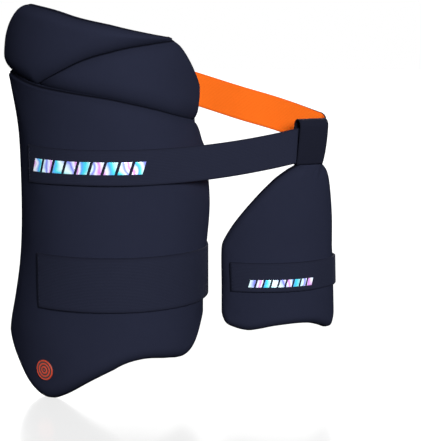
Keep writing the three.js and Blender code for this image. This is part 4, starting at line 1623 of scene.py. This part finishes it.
def merged(parts):
    """Several sets of points, faces and marks as one set."""
    points, quads, kinds, marks = zip(*parts)
    starts = np.cumsum([0] + [len(part) for part in points[:-1]])
    shifted = [faces + start for faces, start in zip(quads, starts)]
    together = {mark: np.concatenate([each[mark] for each in marks]) for mark in marks[0]}
    return np.concatenate(points), np.concatenate(shifted), np.concatenate(kinds), together


def press_bars(name, stations, start, length, gap, count, span, width, offset):
    """A row of bars of one length, with even gaps, from a start along a strap."""
    starts = start + (length + gap) * np.arange(count)
    bars = [foil_bar(stations, place, length, *span, width, offset) for place in starts]
    foil = put_mesh(name, [pearl_foil], *merged(bars))
    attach(foil, "root")
    print(name, "has", count, "bars")


press_bars(
    "foil_bars_waist", belt, start=8.7 * MM, length=10.7 * MM, gap=3.0 * MM, count=9,
    span=(-0.18, 0.16), width=WAIST_STRAP_WIDTH, offset=BELT_HALF,
)
press_bars(
    "foil_bars_inner", inner_strap, start=19 * MM, length=5.8 * MM, gap=2.0 * MM, count=9,
    span=(-0.32, -0.07), width=INNER_STRAP_WIDTH, offset=STRAP_THICKNESS / 2,
)

# %% [markdown]
# Stitches hold the strap ends and the crease tapes. A stitch is a short thread that rises out
# of the cloth and dives back in. All the stitches of one piece are made at once: five rings of six
# points each, laid along the line between where the thread comes up and where it goes down.

# %% Make rows of stitches
STITCH_LENGTH = 2.5 * MM
STITCH_GAP = 0.9 * MM
THREAD_RADIUS = 0.3 * MM
STITCH_RISE = np.array([-0.25, 0.22, 0.32, 0.22, -0.25]) * MM
STITCH_SWELL = np.array([0.7, 1.0, 1.0, 1.0, 0.7])
STITCH_RINGS = len(STITCH_RISE)
STITCH_SIDES = 6
STITCH_CAPS = np.array([[0, 1, 2, 3], [0, 3, 4, 5], [24, 27, 26, 25], [24, 29, 28, 27]])


def stitch_row(points, out):
    """Starts, ends and outward directions of even stitches along a line of points."""
    total = np.concatenate([[0], np.cumsum(np.linalg.norm(np.diff(points, axis=0), axis=1))])
    count = max(int(total[-1] / (STITCH_LENGTH + STITCH_GAP)), 1)
    starts = (np.arange(count) + 0.5) * total[-1] / count - STITCH_LENGTH / 2

    def at(field, place):
        return np.stack([np.interp(place, total, field[:, axis]) for axis in range(3)], -1)

    return at(points, starts), at(points, starts + STITCH_LENGTH), unit(at(out, starts))


def stitch_points(starts, ends, out):
    """The points of many stitches, and how far along the thread and round it each one lies."""
    side = unit(np.cross(unit(ends - starts), out))
    share = np.linspace(0, 1, STITCH_RINGS)[None, :, None, None]
    spin = np.linspace(0, 2 * math.pi, STITCH_SIDES, endpoint=False)[None, None, :, None]
    spine = starts[:, None, None] + (ends - starts)[:, None, None] * share
    spine = spine + out[:, None, None] * STITCH_RISE[None, :, None, None]
    ring = side[:, None, None] * np.cos(spin) + out[:, None, None] * np.sin(spin)
    points = spine + ring * STITCH_SWELL[None, :, None, None] * THREAD_RADIUS
    run = np.broadcast_to(share * STITCH_LENGTH, points.shape[:-1] + (1,))
    return points, np.concatenate([run, spin * THREAD_RADIUS + 0 * run, 0 * run], -1)


def sew(name, rows):
    """All the stitches of some rows as one piece."""
    starts, ends, out = (np.concatenate(parts) for parts in zip(*rows))
    points, cloth = stitch_points(starts, ends, out)
    index = np.arange(points[..., 0].size).reshape(points.shape[:-1])
    caps = index[:, 0, 0][:, None, None] + STITCH_CAPS
    quads = np.concatenate([round_quads(index), caps.reshape(-1, 4)])
    marks = {"cloth": cloth.reshape(-1, 3), "rim": np.zeros(index.size)}
    kinds = np.zeros(len(quads))
    thread = put_mesh(name, [navy_thread], points.reshape(-1, 3), quads, kinds, marks)
    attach(thread, "root")
    print(name, "has", len(starts), "stitches")


print("stitches come every", round((STITCH_LENGTH + STITCH_GAP) / MM, 1), "mm")

# %% [markdown]
# A strap has one row of stitches at its end on the face and a box of them on the lining. Each tape
# is sewn along both of its edges.

# %% Sew the straps and tapes
ROW_SAMPLES = 30
ROW_REACH = 0.42
TAPE_ROW_REACH = 0.4
BOX_INSET = 4 * MM
END_INSET = 3 * MM
FACE_END_INSET = 2.5 * MM


def row_across(stations, run, offset):
    """A row of stitches straight across a band."""
    share = np.linspace(-ROW_REACH, ROW_REACH, ROW_SAMPLES)
    point, out = on_band(stations, np.full(ROW_SAMPLES, run), share)
    return stitch_row(point + out * offset, out * np.sign(offset))


def row_along(stations, first, last, share, offset):
    """A row of stitches along a band, at a share across it."""
    run = np.linspace(first, last, ROW_SAMPLES)
    point, out = on_band(stations, run, np.full(ROW_SAMPLES, share))
    return stitch_row(point + out * offset, out * np.sign(offset))


def box_of_stitches(stations, first, last, offset):
    """A rectangle of stitches, as a strap's end is sewn."""
    return [
        row_across(stations, first, offset), row_across(stations, last, offset),
        row_along(stations, first, last, -ROW_REACH, offset),
        row_along(stations, first, last, ROW_REACH, offset),
    ]


def sew_straps():
    """A row at each strap's end on the face, and a box at its end on the lining."""
    rows = []
    for stations, half, end in (
        (thigh_strap, STRAP_THICKNESS / 2, END_INSET),
        (inner_strap, STRAP_THICKNESS / 2, FACE_END_INSET),
        (belt, BELT_HALF, FACE_END_INSET),
    ):
        last = length_of(stations)
        rows.append(row_across(stations, end, half))
        box = last - STRAP_LAP + BOX_INSET, last - END_INSET
        rows += box_of_stitches(stations, *box, -half)
    sew("strap_stitches", rows)


def sew_tapes():
    """A row near each edge of each tape."""
    rows = []
    for stations in tapes:
        last = length_of(stations) - END_INSET
        for share in (-TAPE_ROW_REACH, TAPE_ROW_REACH):
            rows.append(row_along(stations, END_INSET, last, share, -TAPE_HALF))
    sew("tape_stitches", rows)


sew_straps()
sew_tapes()

# %% [markdown]
# The guard stands on its lower tip in front of a bright backdrop, so the floor is a sheet of pale
# board at the height of the tip. It is a little glossy and holds a faint image of the tip.

# %% Floor, light and background
FLOOR_LEVEL = -179.9 * MM
FLOOR_HALF = 6.0
FLOOR_LINES = 9
LIT_POINT = Vector((0.06, AXIS_DEPTH * 0.5, 0.02))


def floor_finish():
    finish = Finish("lit_white_board")
    finish.feed(base_color=(0.05, 0.05, 0.05, 1.0), roughness=0.18, specular_ior_level=0.5)
    finish.feed(emission_color=(1.0, 1.0, 1.0, 1.0), emission_strength=0.8)
    return finish.material


def make_floor():
    across = np.linspace(-FLOOR_HALF, FLOOR_HALF, FLOOR_LINES)
    x, y = np.meshgrid(across, across, indexing="ij")
    points = np.stack([x, y, np.full_like(x, FLOOR_LEVEL)], -1).reshape(-1, 3)
    quads = grid_quads(FLOOR_LINES, FLOOR_LINES, 0)
    floor = put_mesh("floor", [floor_finish()], points, quads, np.zeros(len(quads)), {})
    floor.visible_diffuse = False


def make_light(name, azimuth, elevation, distance, size, power):
    """A round soft box; azimuth is to the right of the camera, as seen from above."""
    data = bpy.data.lights.new(name, "AREA")
    data.shape = "DISK"
    data.size = size
    data.energy = power
    light = bpy.data.objects.new(name, data)
    turn, rise = math.radians(azimuth), math.radians(elevation)
    level = distance * math.cos(rise)
    away = Vector((level * math.sin(turn), -level * math.cos(turn), distance * math.sin(rise)))
    light.location = LIT_POINT + away
    light.rotation_euler = (-away).to_track_quat("-Z", "Y").to_euler()
    bpy.context.collection.objects.link(light)


def light_background():
    world = bpy.data.worlds.new("white_studio")
    world.use_nodes = True
    world.node_tree.nodes["Background"].inputs["Color"].default_value = (1, 1, 1, 1)
    world.cycles_visibility.diffuse = False
    bpy.context.scene.world = world


# Name, azimuth and elevation in degrees, distance and size in metres, power in watts.
LIGHTS = (
    ("key", 16, 20, 2.4, 0.9, 82),
    ("left_fill", -75, 5, 2.2, 1.8, 5),
    ("right_fill", 80, 5, 2.2, 1.8, 4),
    ("top_fill", 0, 80, 2.0, 2.0, 6),
    ("back_left", -155, 25, 2.4, 1.4, 60),
    ("back_right", 150, 25, 2.4, 1.4, 60),
)

make_floor()
for light in LIGHTS:
    make_light(*light)
light_background()
bpy.context.scene.view_settings.view_transform = "Standard"
print("lights:", [light[0] for light in LIGHTS])

# %% [markdown]


print("the scene is built")
